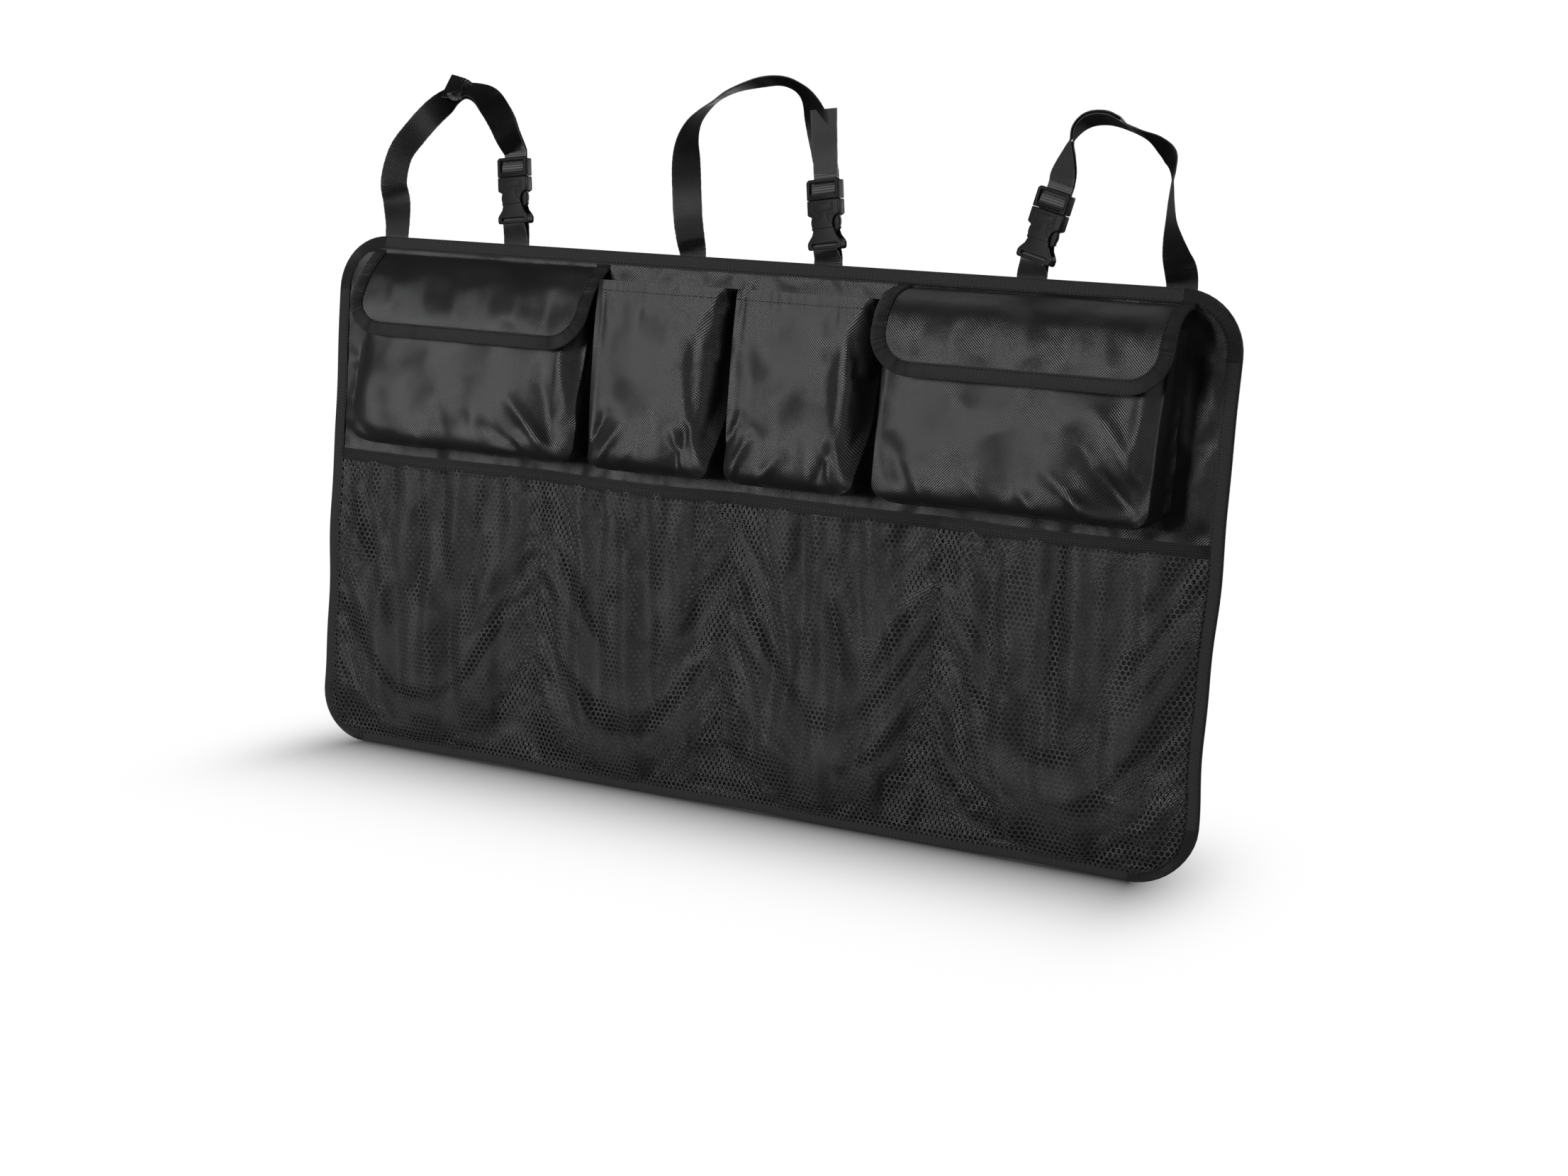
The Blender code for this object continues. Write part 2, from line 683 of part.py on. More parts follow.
def make_plug(side, loop):
    """The half with prongs and a ladder bar, which pulls up out of the socket."""
    half = BUCKLE_W / 2
    window = half - BUCKLE_WALL
    high = plug_height()
    bend_x, bend_z = half - FRAME_BEND, high - FRAME_BEND
    outline = [(-half, 0), (half, 0)] + arc(bend_x, bend_z, FRAME_BEND, 0, 90, 3)
    outline += arc(-bend_x, bend_z, FRAME_BEND, 90, 180, 3)
    slot_top = high - END_BAR_H
    hole = [(-window, SHOULDER_H), (window, SHOULDER_H), (window, slot_top), (-window, slot_top)]
    mesh = plate("plug", [outline, hole], BUCKLE_DEPTH, 0.6 * MM)
    plug = new_object(f"{side}_buckle_plug", mesh, plastic, buckle_matrix(loop))
    back_cut = box((-window, END_BAR_BACK, slot_top - END_BAR_H), (window, BUCKLE_DEPTH, high + END_BAR_H))
    boolean(plug, "DIFFERENCE", back_cut, f"{side}_end_bar_cut")
    low = ladder_low()
    into_side = window + BUCKLE_WALL / 2
    ladder = box((-into_side, -LADDER_T / 2, low), (into_side, LADDER_T / 2, low + LADDER_H))
    boolean(plug, "UNION", ladder, f"{side}_ladder")
    for sign in (-1, 1):
        prong = plate("prong", [prong_outline(sign)], PRONG_T, 0.5 * MM)
        boolean(plug, "UNION", prong, f"{side}_prong_{'left' if sign < 0 else 'right'}")
    guide_low = Vector((-GUIDE_W / 2, -GUIDE_T / 2, -0.65 * PRONG_LENGTH))
    guide = box(guide_low, (GUIDE_W / 2, GUIDE_T / 2, SHOULDER_H / 2))
    boolean(plug, "UNION", guide, f"{side}_guide")
    smooth(plug)


def prong_outline(sign):
    """A prong from the shoulder down, with a thumb bulge on its outer side."""
    reach = BUCKLE_W / 2 - SOCKET_SKIN - GAP
    root = reach - PRONG_BULGE
    swell_top, swell_low = -SOCKET_COLLAR, -PRONG_LENGTH + 3 * MM
    inner = reach - PRONG_W
    points = [(inner, SHOULDER_H / 2), (inner, swell_top), (inner + 1.5 * MM, -PRONG_LENGTH)]
    points += [(root, -PRONG_LENGTH), (reach - MM, swell_low), (reach, (swell_top + swell_low) / 2)]
    points += [(reach - 0.6 * MM, swell_top), (root, swell_top + 2.5 * MM), (root, SHOULDER_H / 2)]
    return [(sign * x, z) for x, z in (points if sign > 0 else points[::-1])]


def socket_half_outline():
    """The right side of the socket's front, from its mouth to its foot."""
    half = BUCKLE_W / 2
    foot = half + 1 * MM
    low = -SOCKET_LENGTH
    points = [(half, -GAP), (half, -SOCKET_COLLAR)]
    points += arc(half, -SOCKET_COLLAR - 7 * MM, 7 * MM, 110, 215, 5)
    points += [(SOCKET_WAIST + 2 * MM, low + 12 * MM), (foot - 1.2 * MM, low + 7.5 * MM)]
    points += [(foot, low + 5.5 * MM)] + arc(foot - 2.5 * MM, low + 2.5 * MM, 2.5 * MM, 0, -90, 3)
    return points


def make_socket(side, loop):
    """The half that the prongs go into, with a bar at its foot for the short strap."""
    right = socket_half_outline()
    outline = right + [(-x, z) for x, z in reversed(right)]
    mesh = plate("socket", [outline], BUCKLE_DEPTH, BUCKLE_ROUND)
    socket = new_object(f"{side}_buckle_socket", mesh, plastic, buckle_matrix(loop))
    inside = BUCKLE_W / 2 - SOCKET_SKIN
    cavity = box((-inside, -CAVITY_H / 2, -CAVITY_DEPTH), (inside, CAVITY_H / 2, 2 * MM))
    boolean(socket, "DIFFERENCE", cavity, f"{side}_cavity_cut")
    half = WEB_W / 2 + WEB_PLAY
    bar_top = -SOCKET_LENGTH + FOOT_BAR_H
    slot = box((-half, -BUCKLE_DEPTH, bar_top), (half, BUCKLE_DEPTH, bar_top + FOOT_SLOT))
    boolean(socket, "DIFFERENCE", slot, f"{side}_slot_cut")
    below = -SOCKET_LENGTH - 5 * MM
    for sign in (-1, 1):
        y = sorted((sign * FOOT_BAR_T / 2, sign * BUCKLE_DEPTH))
        relief = box((-half, y[0], below), (half, y[1], bar_top + MM))
        boolean(socket, "DIFFERENCE", relief, f"{side}_relief_{'front' if sign < 0 else 'back'}")
    smooth(socket)


def ribbon(name, stations):
    """Webbing through stations of (middle, unit vector across)."""
    rings = []
    for i, (point, across) in enumerate(stations):
        before, after = stations[max(0, i - 1)][0], stations[min(len(stations) - 1, i + 1)][0]
        run = (after - before).normalized()
        across = (across - run * across.dot(run)).normalized()
        normal = run.cross(across)
        side, face = across * WEB_W / 2, normal * WEB_T / 2
        rings.append([point + side + face, point - side + face, point - side - face, point + side - face])
    smooth(new_object(name, loft(name, rings), webbing))


def foot_stations(x, layer):
    """A strap's end flat on the panel's back, and up over the binding; layer counts outwards."""
    step = layer * LAYER
    inner = TOP - BINDING_W - GAP
    across = Vector((1, 0, 0))
    return [
        (Vector((x, FOOT_Y + step, TOP - FOOT_LENGTH)), across),
        (Vector((x, FOOT_Y + step, inner - 4 * MM)), across),
        (Vector((x, OVER_BINDING_Y + step, inner - WEB_T)), across),
        (Vector((x, OVER_BINDING_Y + step, TOP + 2 * MM)), across),
    ]


def route_station(loop, share, rise, twist, ahead):
    """A place on the loop and the direction across it, given the place that follows."""
    def place(share, rise):
        x = loop["foot_x"] + (loop["buckle_x"] - loop["foot_x"]) * share
        y = OVER_BINDING_Y + (BUCKLE_Y + LAYER - OVER_BINDING_Y) * min(1.0, max(0.0, share))
        return Vector((x, y, TOP + rise))

    here, there = place(share, rise), place(*ahead)
    run = (there - here).normalized()
    flat = Vector((run.z, 0, -run.x)).normalized()
    turn = math.radians(twist)
    return here, flat * math.cos(turn) + Vector((0, 1, 0)) * math.sin(turn)


def loop_stations(loop):
    route = loop["route"]
    out = []
    for i, (share, rise, twist) in enumerate(route):
        a, b = route[max(0, i - 1)], route[min(len(route) - 1, i + 1)]
        ahead = (share + b[0] - a[0], rise + b[1] - a[1])
        out.append(route_station(loop, share, rise, twist, ahead))
    return out


def ladder_stations(loop):
    """Down behind the end bar, under the ladder bar, over its front and up again as the tail."""
    matrix = buckle_matrix(loop)
    across = matrix.to_3x3() @ Vector((-1, 0, 0))
    low, high = ladder_low(), plug_height()
    tail_y = END_BAR_BACK + GAP + WEB_T / 2
    load_y = tail_y + LAYER
    slot_top = high - END_BAR_H
    bar_top = low + LADDER_H
    reach = LADDER_T / 2 + 1.5 * GAP + WEB_T / 2
    under = low - 2.5 * GAP - WEB_T / 2
    places = [
        (load_y, high + 2 * END_BAR_H), (load_y, slot_top), (load_y, low + 0.6 * LADDER_H),
        (reach, low), (0.4 * reach, under), (-0.35 * reach, under), (-0.9 * reach, low - GAP),
        (-reach, low + LADDER_H / 2), (-0.8 * reach, bar_top + 0.2 * LADDER_SLOT),
        (-0.25 * reach, bar_top + 0.5 * LADDER_SLOT), (0.3 * reach, bar_top + 0.7 * LADDER_SLOT),
        (tail_y, slot_top), (tail_y, high + 1.3 * END_BAR_H),
    ]
    return [(matrix @ Vector((0, y, z)), across) for y, z in places]


def tail_stations(loop, load):
    """Back up in front of the strap that it hangs beside, and on to a free end."""
    out = []
    follow = load[::-1][:loop["tail_stations"] * ROUTE_STEPS]
    for i, (point, across) in enumerate(follow):
        before, after = follow[max(0, i - 1)][0], follow[min(len(follow) - 1, i + 1)][0]
        normal = (after - before).normalized().cross(across).normalized()
        share = min(1.0, (i + 2) / 6)
        out.append((point + normal * (LAYER + (TAIL_LIFT - LAYER) * share), across))
    ends = loop["tail_end"]
    for i, (share, rise, twist) in enumerate(ends):
        a, b = ends[max(0, i - 1)], ends[min(len(ends) - 1, i + 1)]
        ahead = (share + a[0] - b[0], rise + a[1] - b[1])
        point, across = route_station(loop, share, rise, twist, ahead)
        front = 0 if loop["tail_stations"] else -TAIL_LIFT
        out.append((point + Vector((0, front, 0)), across))
    return out


def make_long_strap(side, loop):
    start = foot_stations(loop["foot_x"], 0)
    ladder = ladder_stations(loop)
    load = spline([*start, *loop_stations(loop), ladder[0]], ROUTE_STEPS)
    tail = tail_stations(loop, load[:-1])
    ribbon(f"{side}_long_strap", load + ladder[1:] + spline([ladder[-1], *tail], 2)[1:])


def make_short_strap(side, loop):
    """Webbing through the socket's foot and down both sides of its bar to the panel."""
    matrix = buckle_matrix(loop)
    across = Vector((1, 0, 0))
    tilted = matrix.to_3x3() @ across
    bar = -SOCKET_LENGTH + FOOT_BAR_H / 2
    radius = math.hypot(FOOT_BAR_T, FOOT_BAR_H) / 2 + GAP + WEB_T / 2
    places = [(-radius, bar - FOOT_BAR_H)]
    for i in range(7):
        angle = math.pi * i / 6
        places.append((-radius * math.cos(angle), bar + radius * math.sin(angle)))
    places.append((radius, bar - FOOT_BAR_H))
    turn = [(matrix @ Vector((0, y, z)), tilted) for y, z in places]
    front = foot_stations(loop["buckle_foot_x"], 0)
    back = foot_stations(loop["buckle_foot_x"], 1)
    ribbon(f"{side}_short_strap", spline([*front, *turn, *back[::-1]], 2))


def make_loops():
    for side, loop in LOOPS.items():
        make_long_strap(side, loop)
        make_short_strap(side, loop)
        make_plug(side, loop)
        make_socket(side, loop)


clear_scene()
parts = new_collection("trunk_organizer")
cutters = new_collection("cutters")
cutters.hide_render = True
fabric = new_material("woven_fabric", (0.012, 0.012, 0.013), 0.55)
tape = new_material("binding_tape", (0.014, 0.014, 0.015), 0.75)
net = new_material("net_mesh", (0.010, 0.010, 0.011), 0.7)
webbing = new_material("webbing", (0.014, 0.014, 0.015), 0.65)
plastic = new_material("buckle_plastic", (0.018, 0.018, 0.019), 0.35)
grip = new_material("hook_and_loop", (0.010, 0.010, 0.010), 0.9)
make_panel()
make_edge_binding()
for side, sign, depth in (("left", -1, LEFT_DEPTH), ("right", 1, RIGHT_DEPTH)):
    make_big_pocket(side, sign, depth)
    make_flap(side, sign, depth)
    make_grip(side, sign, depth)
make_open_pocket("centre_left_pocket", -1)
make_open_pocket("centre_right_pocket", 1)
make_net()
make_elastic()
make_loops()
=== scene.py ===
"""Looks of the trunk organiser: cloth, net, tape, webbing and buckles round the fixed frame."""

import math

import bmesh
import bpy
import numpy as np
from mathutils import Matrix, Vector
from mathutils.bvhtree import BVHTree


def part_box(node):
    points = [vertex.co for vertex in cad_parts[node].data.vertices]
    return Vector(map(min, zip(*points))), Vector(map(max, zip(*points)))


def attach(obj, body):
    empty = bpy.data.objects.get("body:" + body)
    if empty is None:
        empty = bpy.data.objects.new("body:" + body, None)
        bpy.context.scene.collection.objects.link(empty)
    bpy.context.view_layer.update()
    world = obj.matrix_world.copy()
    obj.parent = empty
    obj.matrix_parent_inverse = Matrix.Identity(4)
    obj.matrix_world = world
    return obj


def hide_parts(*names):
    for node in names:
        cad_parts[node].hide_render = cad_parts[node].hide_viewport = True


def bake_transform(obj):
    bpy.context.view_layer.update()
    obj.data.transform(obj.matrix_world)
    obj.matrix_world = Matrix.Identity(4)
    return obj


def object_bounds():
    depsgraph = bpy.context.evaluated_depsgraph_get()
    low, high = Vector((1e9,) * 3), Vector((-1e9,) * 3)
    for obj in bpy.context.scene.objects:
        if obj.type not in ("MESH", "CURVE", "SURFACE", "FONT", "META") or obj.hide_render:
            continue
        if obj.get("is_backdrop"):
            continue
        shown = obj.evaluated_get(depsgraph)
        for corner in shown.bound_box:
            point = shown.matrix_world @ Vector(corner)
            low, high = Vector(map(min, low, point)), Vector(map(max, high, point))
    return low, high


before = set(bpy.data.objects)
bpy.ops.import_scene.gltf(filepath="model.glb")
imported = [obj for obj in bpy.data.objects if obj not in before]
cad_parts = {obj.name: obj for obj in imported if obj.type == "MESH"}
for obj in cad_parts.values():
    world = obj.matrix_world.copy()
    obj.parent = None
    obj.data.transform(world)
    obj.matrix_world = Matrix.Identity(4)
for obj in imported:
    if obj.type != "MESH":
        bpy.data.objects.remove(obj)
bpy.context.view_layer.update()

MM = 0.001

# Places that come from the frame
EDGE_LOW, EDGE_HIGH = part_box("edge_binding")
PANEL_W = EDGE_HIGH.x - EDGE_LOW.x
PANEL_H = EDGE_HIGH.z - EDGE_LOW.z
TOP = EDGE_HIGH.z
BOTTOM = EDGE_LOW.z
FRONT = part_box("back_panel")[0].y
ELASTIC_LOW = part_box("elastic_band")[0].z
ELASTIC_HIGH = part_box("elastic_band")[1].z
POCKET_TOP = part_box("left_pocket_front")[1].z
POCKET_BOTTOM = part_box("left_pocket_front")[0].z

# Panel and tapes
CORNER_R = 50 * MM
BINDING_W = 12 * MM
BINDING_T = 1.0 * MM
CLOTH_T = 0.8 * MM
WEAVE_PITCH = 2.2 * MM
PANEL_INSET = 2.0 * MM
PANEL_SINK = 1.6 * MM
PANEL_SWELL = 9 * MM
STITCH_PITCH = 3.4 * MM
STITCH_LENGTH = 2.4 * MM
STITCH_R = 0.38 * MM
STITCH_SIDES = 5
# A stitch's rings from end to end: their places along it, shares of its radius and heights
STITCH_PLACES = np.array([-0.5, -0.36, 0.36, 0.5])
STITCH_WIDTHS = np.array([0.35, 1.0, 1.0, 0.35])
STITCH_HEIGHTS = np.array([-0.21, 0.21, 0.21, -0.21]) * MM

# Net
NET_SEAMS = (-190 * MM, 0.0, 190 * MM)
NET_T = 0.5 * MM
CELL = 4.7 * MM
STRAND = 1.15 * MM
NET_BULGE = 15 * MM
ELASTIC_BOW = 13 * MM
ELASTIC_T = 1.4 * MM
ELASTIC_TOP = ELASTIC_HIGH - 2.5 * MM
ELASTIC_RIDGES = 6
ELASTIC_RIDGE_H = 0.22 * MM
NET_COLUMNS = 34
NET_ROWS = 44
NET_FOLD = 4.6 * MM

# Webbing
WEB_W = 25 * MM
WEB_T = 1.4 * MM
RIB_PITCH = 1.8 * MM
RIB_HEIGHT = 0.3 * MM

# Cloth runs
FRAMES = 34
CLOTH_SETTINGS = {
    "quality": 6, "mass": 0.25, "tension_stiffness": 15, "compression_stiffness": 15, "shear_stiffness": 5,
    "tension_damping": 10, "compression_damping": 10, "bending_damping": 1, "air_damping": 2,
    "vertex_group_mass": "pins", "pin_stiffness": 1,
}

# Camera, lights as (name, place, target, size, power), and the painted shadow on the floor
CAMERA_PLACE = (0.78847, -1.61494, 0.21372)
CAMERA_RIGHT = (0.90300, 0.42395, 0.06965)
CAMERA_UP = (-0.12215, 0.09791, 0.98767)
CAMERA_FORWARD = (-0.41191, 0.90038, -0.14019)
CAMERA_LENS = 48.56
LIGHTS = [
    ("key", (-1.6, -3.45, 0.65), (0.2, 0, 0), (1.4, 1.1), 78),
    ("fill", (2.2, -1.6, 0.5), (0.1, 0, 0), (1.0, 1.2), 7),
    ("rim", (-0.3, 0.9, 1.5), (0, 0, 0.2), (1.6, 0.5), 2),
    ("back", (1.4, 3.2, 0.6), (0, 0, 0), (1.4, 1.1), 70),
]
WORLD_GLOW = 0.07
FLOOR_RADIUS = 6
FLOOR_GAP = 0.1 * MM
FLOOR_GREY = 0.2
SHADOW_START = 130 * MM
SHADOW_REACH = 222 * MM
SHADOW_FALL = 2.5
SHADOW_NARROW = 2.4
CONTACT_REACH = 16 * MM
CONTACT_SHARE = 0.85


# Camera, floor and light

def link_object(name, data):
    obj = bpy.data.objects.new(name, data)
    bpy.context.scene.collection.objects.link(obj)
    return obj


def bmesh_object(name, work):
    mesh = bpy.data.meshes.new(name)
    work.to_mesh(mesh)
    work.free()
    return link_object(name, mesh)


def make_camera():
    data = bpy.data.cameras.new("camera")
    data.sensor_width = 36
    data.lens = CAMERA_LENS
    data.clip_end = 50
    camera = link_object("camera", data)
    columns = zip(CAMERA_RIGHT, CAMERA_UP, -Vector(CAMERA_FORWARD), CAMERA_PLACE)
    camera.matrix_world = Matrix((*columns, (0, 0, 0, 1)))
    bpy.context.scene.camera = camera


def area_light(name, place, target, size, power):
    data = bpy.data.lights.new(name, "AREA")
    data.shape = "RECTANGLE"
    data.size, data.size_y = size
    data.energy = power
    light = link_object(name, data)
    light.location = place
    light.rotation_euler = (Vector(target) - Vector(place)).to_track_quat("-Z", "Y").to_euler()


def make_light():
    for light in LIGHTS:
        area_light(*light)
    world = bpy.data.worlds.new("studio")
    bpy.context.scene.world = world
    world.use_nodes = True
    tree = world.node_tree
    background = tree.nodes["Background"]
    path = tree.nodes.new("ShaderNodeLightPath")
    strength = tree.nodes.new("ShaderNodeMix")
    strength.inputs["A"].default_value = WORLD_GLOW
    strength.inputs["B"].default_value = 1.0
    tree.links.new(path.outputs["Is Camera Ray"], strength.inputs["Factor"])
    tree.links.new(strength.outputs["Result"], background.inputs["Strength"])
    background.inputs["Color"].default_value = (1, 1, 1, 1)
    bpy.context.scene.view_settings.view_transform = "Standard"


def math_node(tree, operation, *values):
    node = tree.nodes.new("ShaderNodeMath")
    node.operation = operation
    for socket, value in zip(node.inputs, values):
        if isinstance(value, Value):
            tree.links.new(value.socket, socket)
        else:
            socket.default_value = value
    return Value(tree, node.outputs[0])


class Value:
    """A value in a node tree that takes part in sums, so that a formula is written out as one."""

    def __init__(self, tree, socket):
        self.tree, self.socket = tree, socket

    def then(self, operation, *others):
        return math_node(self.tree, operation, self, *others)

    def __add__(self, other):
        return self.then("ADD", other)

    def __sub__(self, other):
        return self.then("SUBTRACT", other)

    def __rsub__(self, other):
        return math_node(self.tree, "SUBTRACT", other, self)

    def __mul__(self, other):
        return self.then("MULTIPLY", other)

    def __truediv__(self, other):
        return self.then("DIVIDE", other)

    def __pow__(self, other):
        return self.then("POWER", other)


def make_floor():
    """White ground with a painted soft contact shadow: its glow for camera rays dims with the distance from
    the panel's foot.
    """
    work = bmesh.new()
    bmesh.ops.create_circle(work, cap_ends=True, segments=96, radius=FLOOR_RADIUS)
    floor = bmesh_object("floor", work)
    floor.location = (0, 0, BOTTOM - FLOOR_GAP)
    material = bpy.data.materials.new("floor")
    material.use_nodes = True
    tree = material.node_tree
    tree.nodes.clear()
    link = tree.links.new
    coords = tree.nodes.new("ShaderNodeTexCoord")
    split = tree.nodes.new("ShaderNodeSeparateXYZ")
    link(coords.outputs["Object"], split.inputs[0])
    x, y = (Value(tree, split.outputs[axis]) for axis in "XY")
    # Painted shadow: the floor's glow is darkened by its distance from the panel's foot, not by any lamp.
    beside = (x.then("ABSOLUTE") - (PANEL_W / 2 - CORNER_R)).then("MAXIMUM", 0.0) * SHADOW_NARROW
    before = ((y - FRONT / 2).then("ABSOLUTE") + FRONT / 2).then("MAXIMUM", 0.0)
    away = (beside * beside + before * before).then("SQRT")
    depth = ((away + SHADOW_START) / SHADOW_REACH) ** SHADOW_FALL
    touch = (away / -CONTACT_REACH).then("EXPONENT")
    shade = (1 - (depth * -1.0).then("EXPONENT")) * (1 - touch * CONTACT_SHARE)
    diffuse = tree.nodes.new("ShaderNodeBsdfDiffuse")
    diffuse.inputs["Color"].default_value = (FLOOR_GREY, FLOOR_GREY, FLOOR_GREY, 1)
    glow = tree.nodes.new("ShaderNodeEmission")
    link(shade.socket, glow.inputs["Strength"])
    path = tree.nodes.new("ShaderNodeLightPath")
    mix = tree.nodes.new("ShaderNodeMixShader")
    out = tree.nodes.new("ShaderNodeOutputMaterial")
    link(path.outputs["Is Camera Ray"], mix.inputs["Fac"])
    link(diffuse.outputs[0], mix.inputs[1])
    link(glow.outputs[0], mix.inputs[2])
    link(mix.outputs[0], out.inputs["Surface"])
    floor.data.materials.append(material)
    floor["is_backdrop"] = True


# Materials

class Nodes:
    """A material's node tree, with short calls for the nodes that the finishes share."""

    def __init__(self, name, roughness, specular, sheen=0.0, sheen_roughness=0.4):
        self.material = bpy.data.materials.new(name)
        self.material.use_nodes = True
        self.tree = self.material.node_tree
        self.shader = self.tree.nodes["Principled BSDF"]
        self.shader.inputs["Roughness"].default_value = roughness
        self.shader.inputs["Specular IOR Level"].default_value = specular
        self.shader.inputs["Sheen Weight"].default_value = sheen
        self.shader.inputs["Sheen Roughness"].default_value = sheen_roughness
        self.coords = self.tree.nodes.new("ShaderNodeTexCoord")

    def link(self, out, into):
        self.tree.links.new(out, into)

    def wave(self, direction, pitch, distortion=0.3, mirrored=False):
        """Ribs that repeat at the pitch in metres, as values from 0 to 1."""
        node = self.tree.nodes.new("ShaderNodeTexWave")
        node.bands_direction = direction
        share = 2 if direction == "DIAGONAL" else 1
        node.inputs["Scale"].default_value = share * math.pi / 10 / pitch
        node.inputs["Distortion"].default_value = distortion
        node.inputs["Detail"].default_value = 1.0
        place = self.coords.outputs["UV"]
        if mirrored:
            flip = self.tree.nodes.new("ShaderNodeVectorMath")
            flip.operation = "MULTIPLY"
            flip.inputs[1].default_value = (-1, 1, 1)
            self.link(place, flip.inputs[0])
            place = flip.outputs["Vector"]
        self.link(place, node.inputs["Vector"])
        return Value(self.tree, node.outputs["Fac"])

    def noise(self, size, detail=3.0):
        node = self.tree.nodes.new("ShaderNodeTexNoise")
        node.inputs["Scale"].default_value = 1 / size
        node.inputs["Detail"].default_value = detail
        self.link(self.coords.outputs["Object"], node.inputs["Vector"])
        return Value(self.tree, node.outputs["Fac"])

    def colours(self, value, dark, light):
        node = self.tree.nodes.new("ShaderNodeMix")
        node.data_type = "RGBA"
        node.inputs["A"].default_value = (*dark, 1)
        node.inputs["B"].default_value = (*light, 1)
        self.link(value.socket, node.inputs["Factor"])
        self.link(node.outputs["Result"], self.shader.inputs["Base Color"])

    def roughen(self, value, low, high):
        node = self.tree.nodes.new("ShaderNodeMapRange")
        node.inputs["To Min"].default_value = low
        node.inputs["To Max"].default_value = high
        self.link(value.socket, node.inputs["Value"])
        self.link(node.outputs["Result"], self.shader.inputs["Roughness"])

    def bump(self, *layers):
        """Heights in metres: each layer is (value, distance)."""
        normal = None
        for value, distance in layers:
            node = self.tree.nodes.new("ShaderNodeBump")
            node.inputs["Strength"].default_value = 1.0
            node.inputs["Distance"].default_value = distance
            self.link(value.socket, node.inputs["Height"])
            if normal:
                self.link(normal, node.inputs["Normal"])
            normal = node.outputs["Normal"]
        self.link(normal, self.shader.inputs["Normal"])


def make_fabric():
    """Coated oxford: a weave that runs one way or the other across it, with a satin sheen."""
    m = Nodes("oxford_fabric", 0.4, 0.75, 0.03, 0.35)
    rising = m.wave("DIAGONAL", WEAVE_PITCH, 0.4)
    falling = m.wave("DIAGONAL", WEAVE_PITCH, 0.4, mirrored=True)
    share = ((m.noise(45 * MM, 2) - 0.40) * 5.0).then("MINIMUM", 1.0).then("MAXIMUM", 0.0)
    weave = rising * share + falling * (1 - share)
    weave = weave * 0.65 + rising * falling * 0.35
    patches = m.noise(60 * MM, 4)
    m.colours(weave * 0.85 + patches * 0.15, (0.001, 0.001, 0.0011), (0.024, 0.024, 0.0246))
    m.roughen(patches, 0.35, 0.45)
    m.bump((m.noise(24 * MM, 3), 0.8 * MM), (weave, 0.24 * MM))
    return m.material


def make_tape_material():
    """Grosgrain: ribs across the tape, finer threads along it."""
    m = Nodes("grosgrain_tape", 0.62, 0.3, 0.15, 0.4)
    ribs = m.wave("X", 1.35 * MM, 0.5)
    threads = m.wave("Y", 0.8 * MM, 0.6)
    height = ribs * 0.7 + threads * 0.3
    m.colours(height, (0.003, 0.003, 0.0032), (0.066, 0.066, 0.067))
    m.bump((m.noise(9 * MM, 2), 0.3 * MM), (height, 0.30 * MM))
    return m.material


def make_plain(name, looks, grain_size, detail, dark, light, height=0.0):
    """A finish with one grain, which shades it and stands up by the height."""
    m = Nodes(name, *looks)
    grain = m.noise(grain_size, detail)
    m.colours(grain, dark, light)
    if height:
        m.bump((grain, height))
    return m.material


def make_webbing_material():
    """Polypropylene webbing: its ribs are in the mesh; here are their painted shading, its fibres and its
    shine.
    """
    m = Nodes("ribbed_webbing", 0.48, 0.35, 0.1, 0.35)
    fibres = m.wave("Y", 1.1 * MM, 1.5)
    speckle = m.noise(1.5 * MM, 3)
    ribs = m.wave("X", RIB_PITCH, 0.0)
    # Painted shade and highlight: light and dark bands at the ribs' pitch, mixed with the fibres' own tone.
    shade = ribs * 0.6 + (fibres * 0.5 + speckle * 0.5) * 0.4
    m.colours(shade, (0.004, 0.004, 0.0041), (0.21, 0.21, 0.214))
    m.bump((fibres, 0.15 * MM))
    return m.material


def make_elastic_material():
    m = Nodes("ribbed_elastic", 0.6, 0.3, 0.12, 0.4)
    ribs = m.wave("Y", 1.9 * MM, 0.2)
    knit = m.wave("X", 1.0 * MM, 0.8)
    height = ribs * 0.75 + knit * 0.25
    m.colours(height, (0.001, 0.001, 0.001), (0.028, 0.028, 0.029))
    m.bump((height, 0.35 * MM))
    return m.material


def make_plastic():
    """Moulded acetal: satin black, a fine grain, scuffs that catch the light."""
    m = Nodes("moulded_plastic", 0.42, 0.25)
    grain = m.noise(0.7 * MM, 3)
    scuffs = m.noise(7 * MM, 5)
    m.colours(scuffs, (0.011, 0.011, 0.0114), (0.025, 0.025, 0.026))
    m.roughen(scuffs, 0.38, 0.58)
    m.bump((grain, 0.03 * MM))
    return m.material


# Meshes

def mesh_object(name, points, faces, material, uvs=None):
    mesh = bpy.data.meshes.new(name)
    mesh.from_pydata(np.asarray(points, float).tolist(), [], [tuple(map(int, f)) for f in faces])
    if uvs is not None:
        layer = mesh.uv_layers.new(name="UVMap")
        corner = np.zeros(len(mesh.loops), int)
        mesh.loops.foreach_get("vertex_index", corner)
        layer.data.foreach_set("uv", np.asarray(uvs, float)[corner].ravel())
    mesh.update()
    mesh.shade_smooth()
    mesh.materials.append(material)
    return link_object(name, mesh)


def stands_for(piece, node, body="organizer"):
    """The piece shows a node of the frame and moves with its body."""
    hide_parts(node)
    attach(piece, body)


def grid_faces(rows, columns, start=0, closed=False):
    i, j = np.meshgrid(np.arange(rows - 1), np.arange(columns if closed else columns - 1), indexing="ij")
    a = i * columns + j
    b = i * columns + (j + 1) % columns
    return (start + np.stack([a, b, b + columns, a + columns], -1)).reshape(-1, 4)


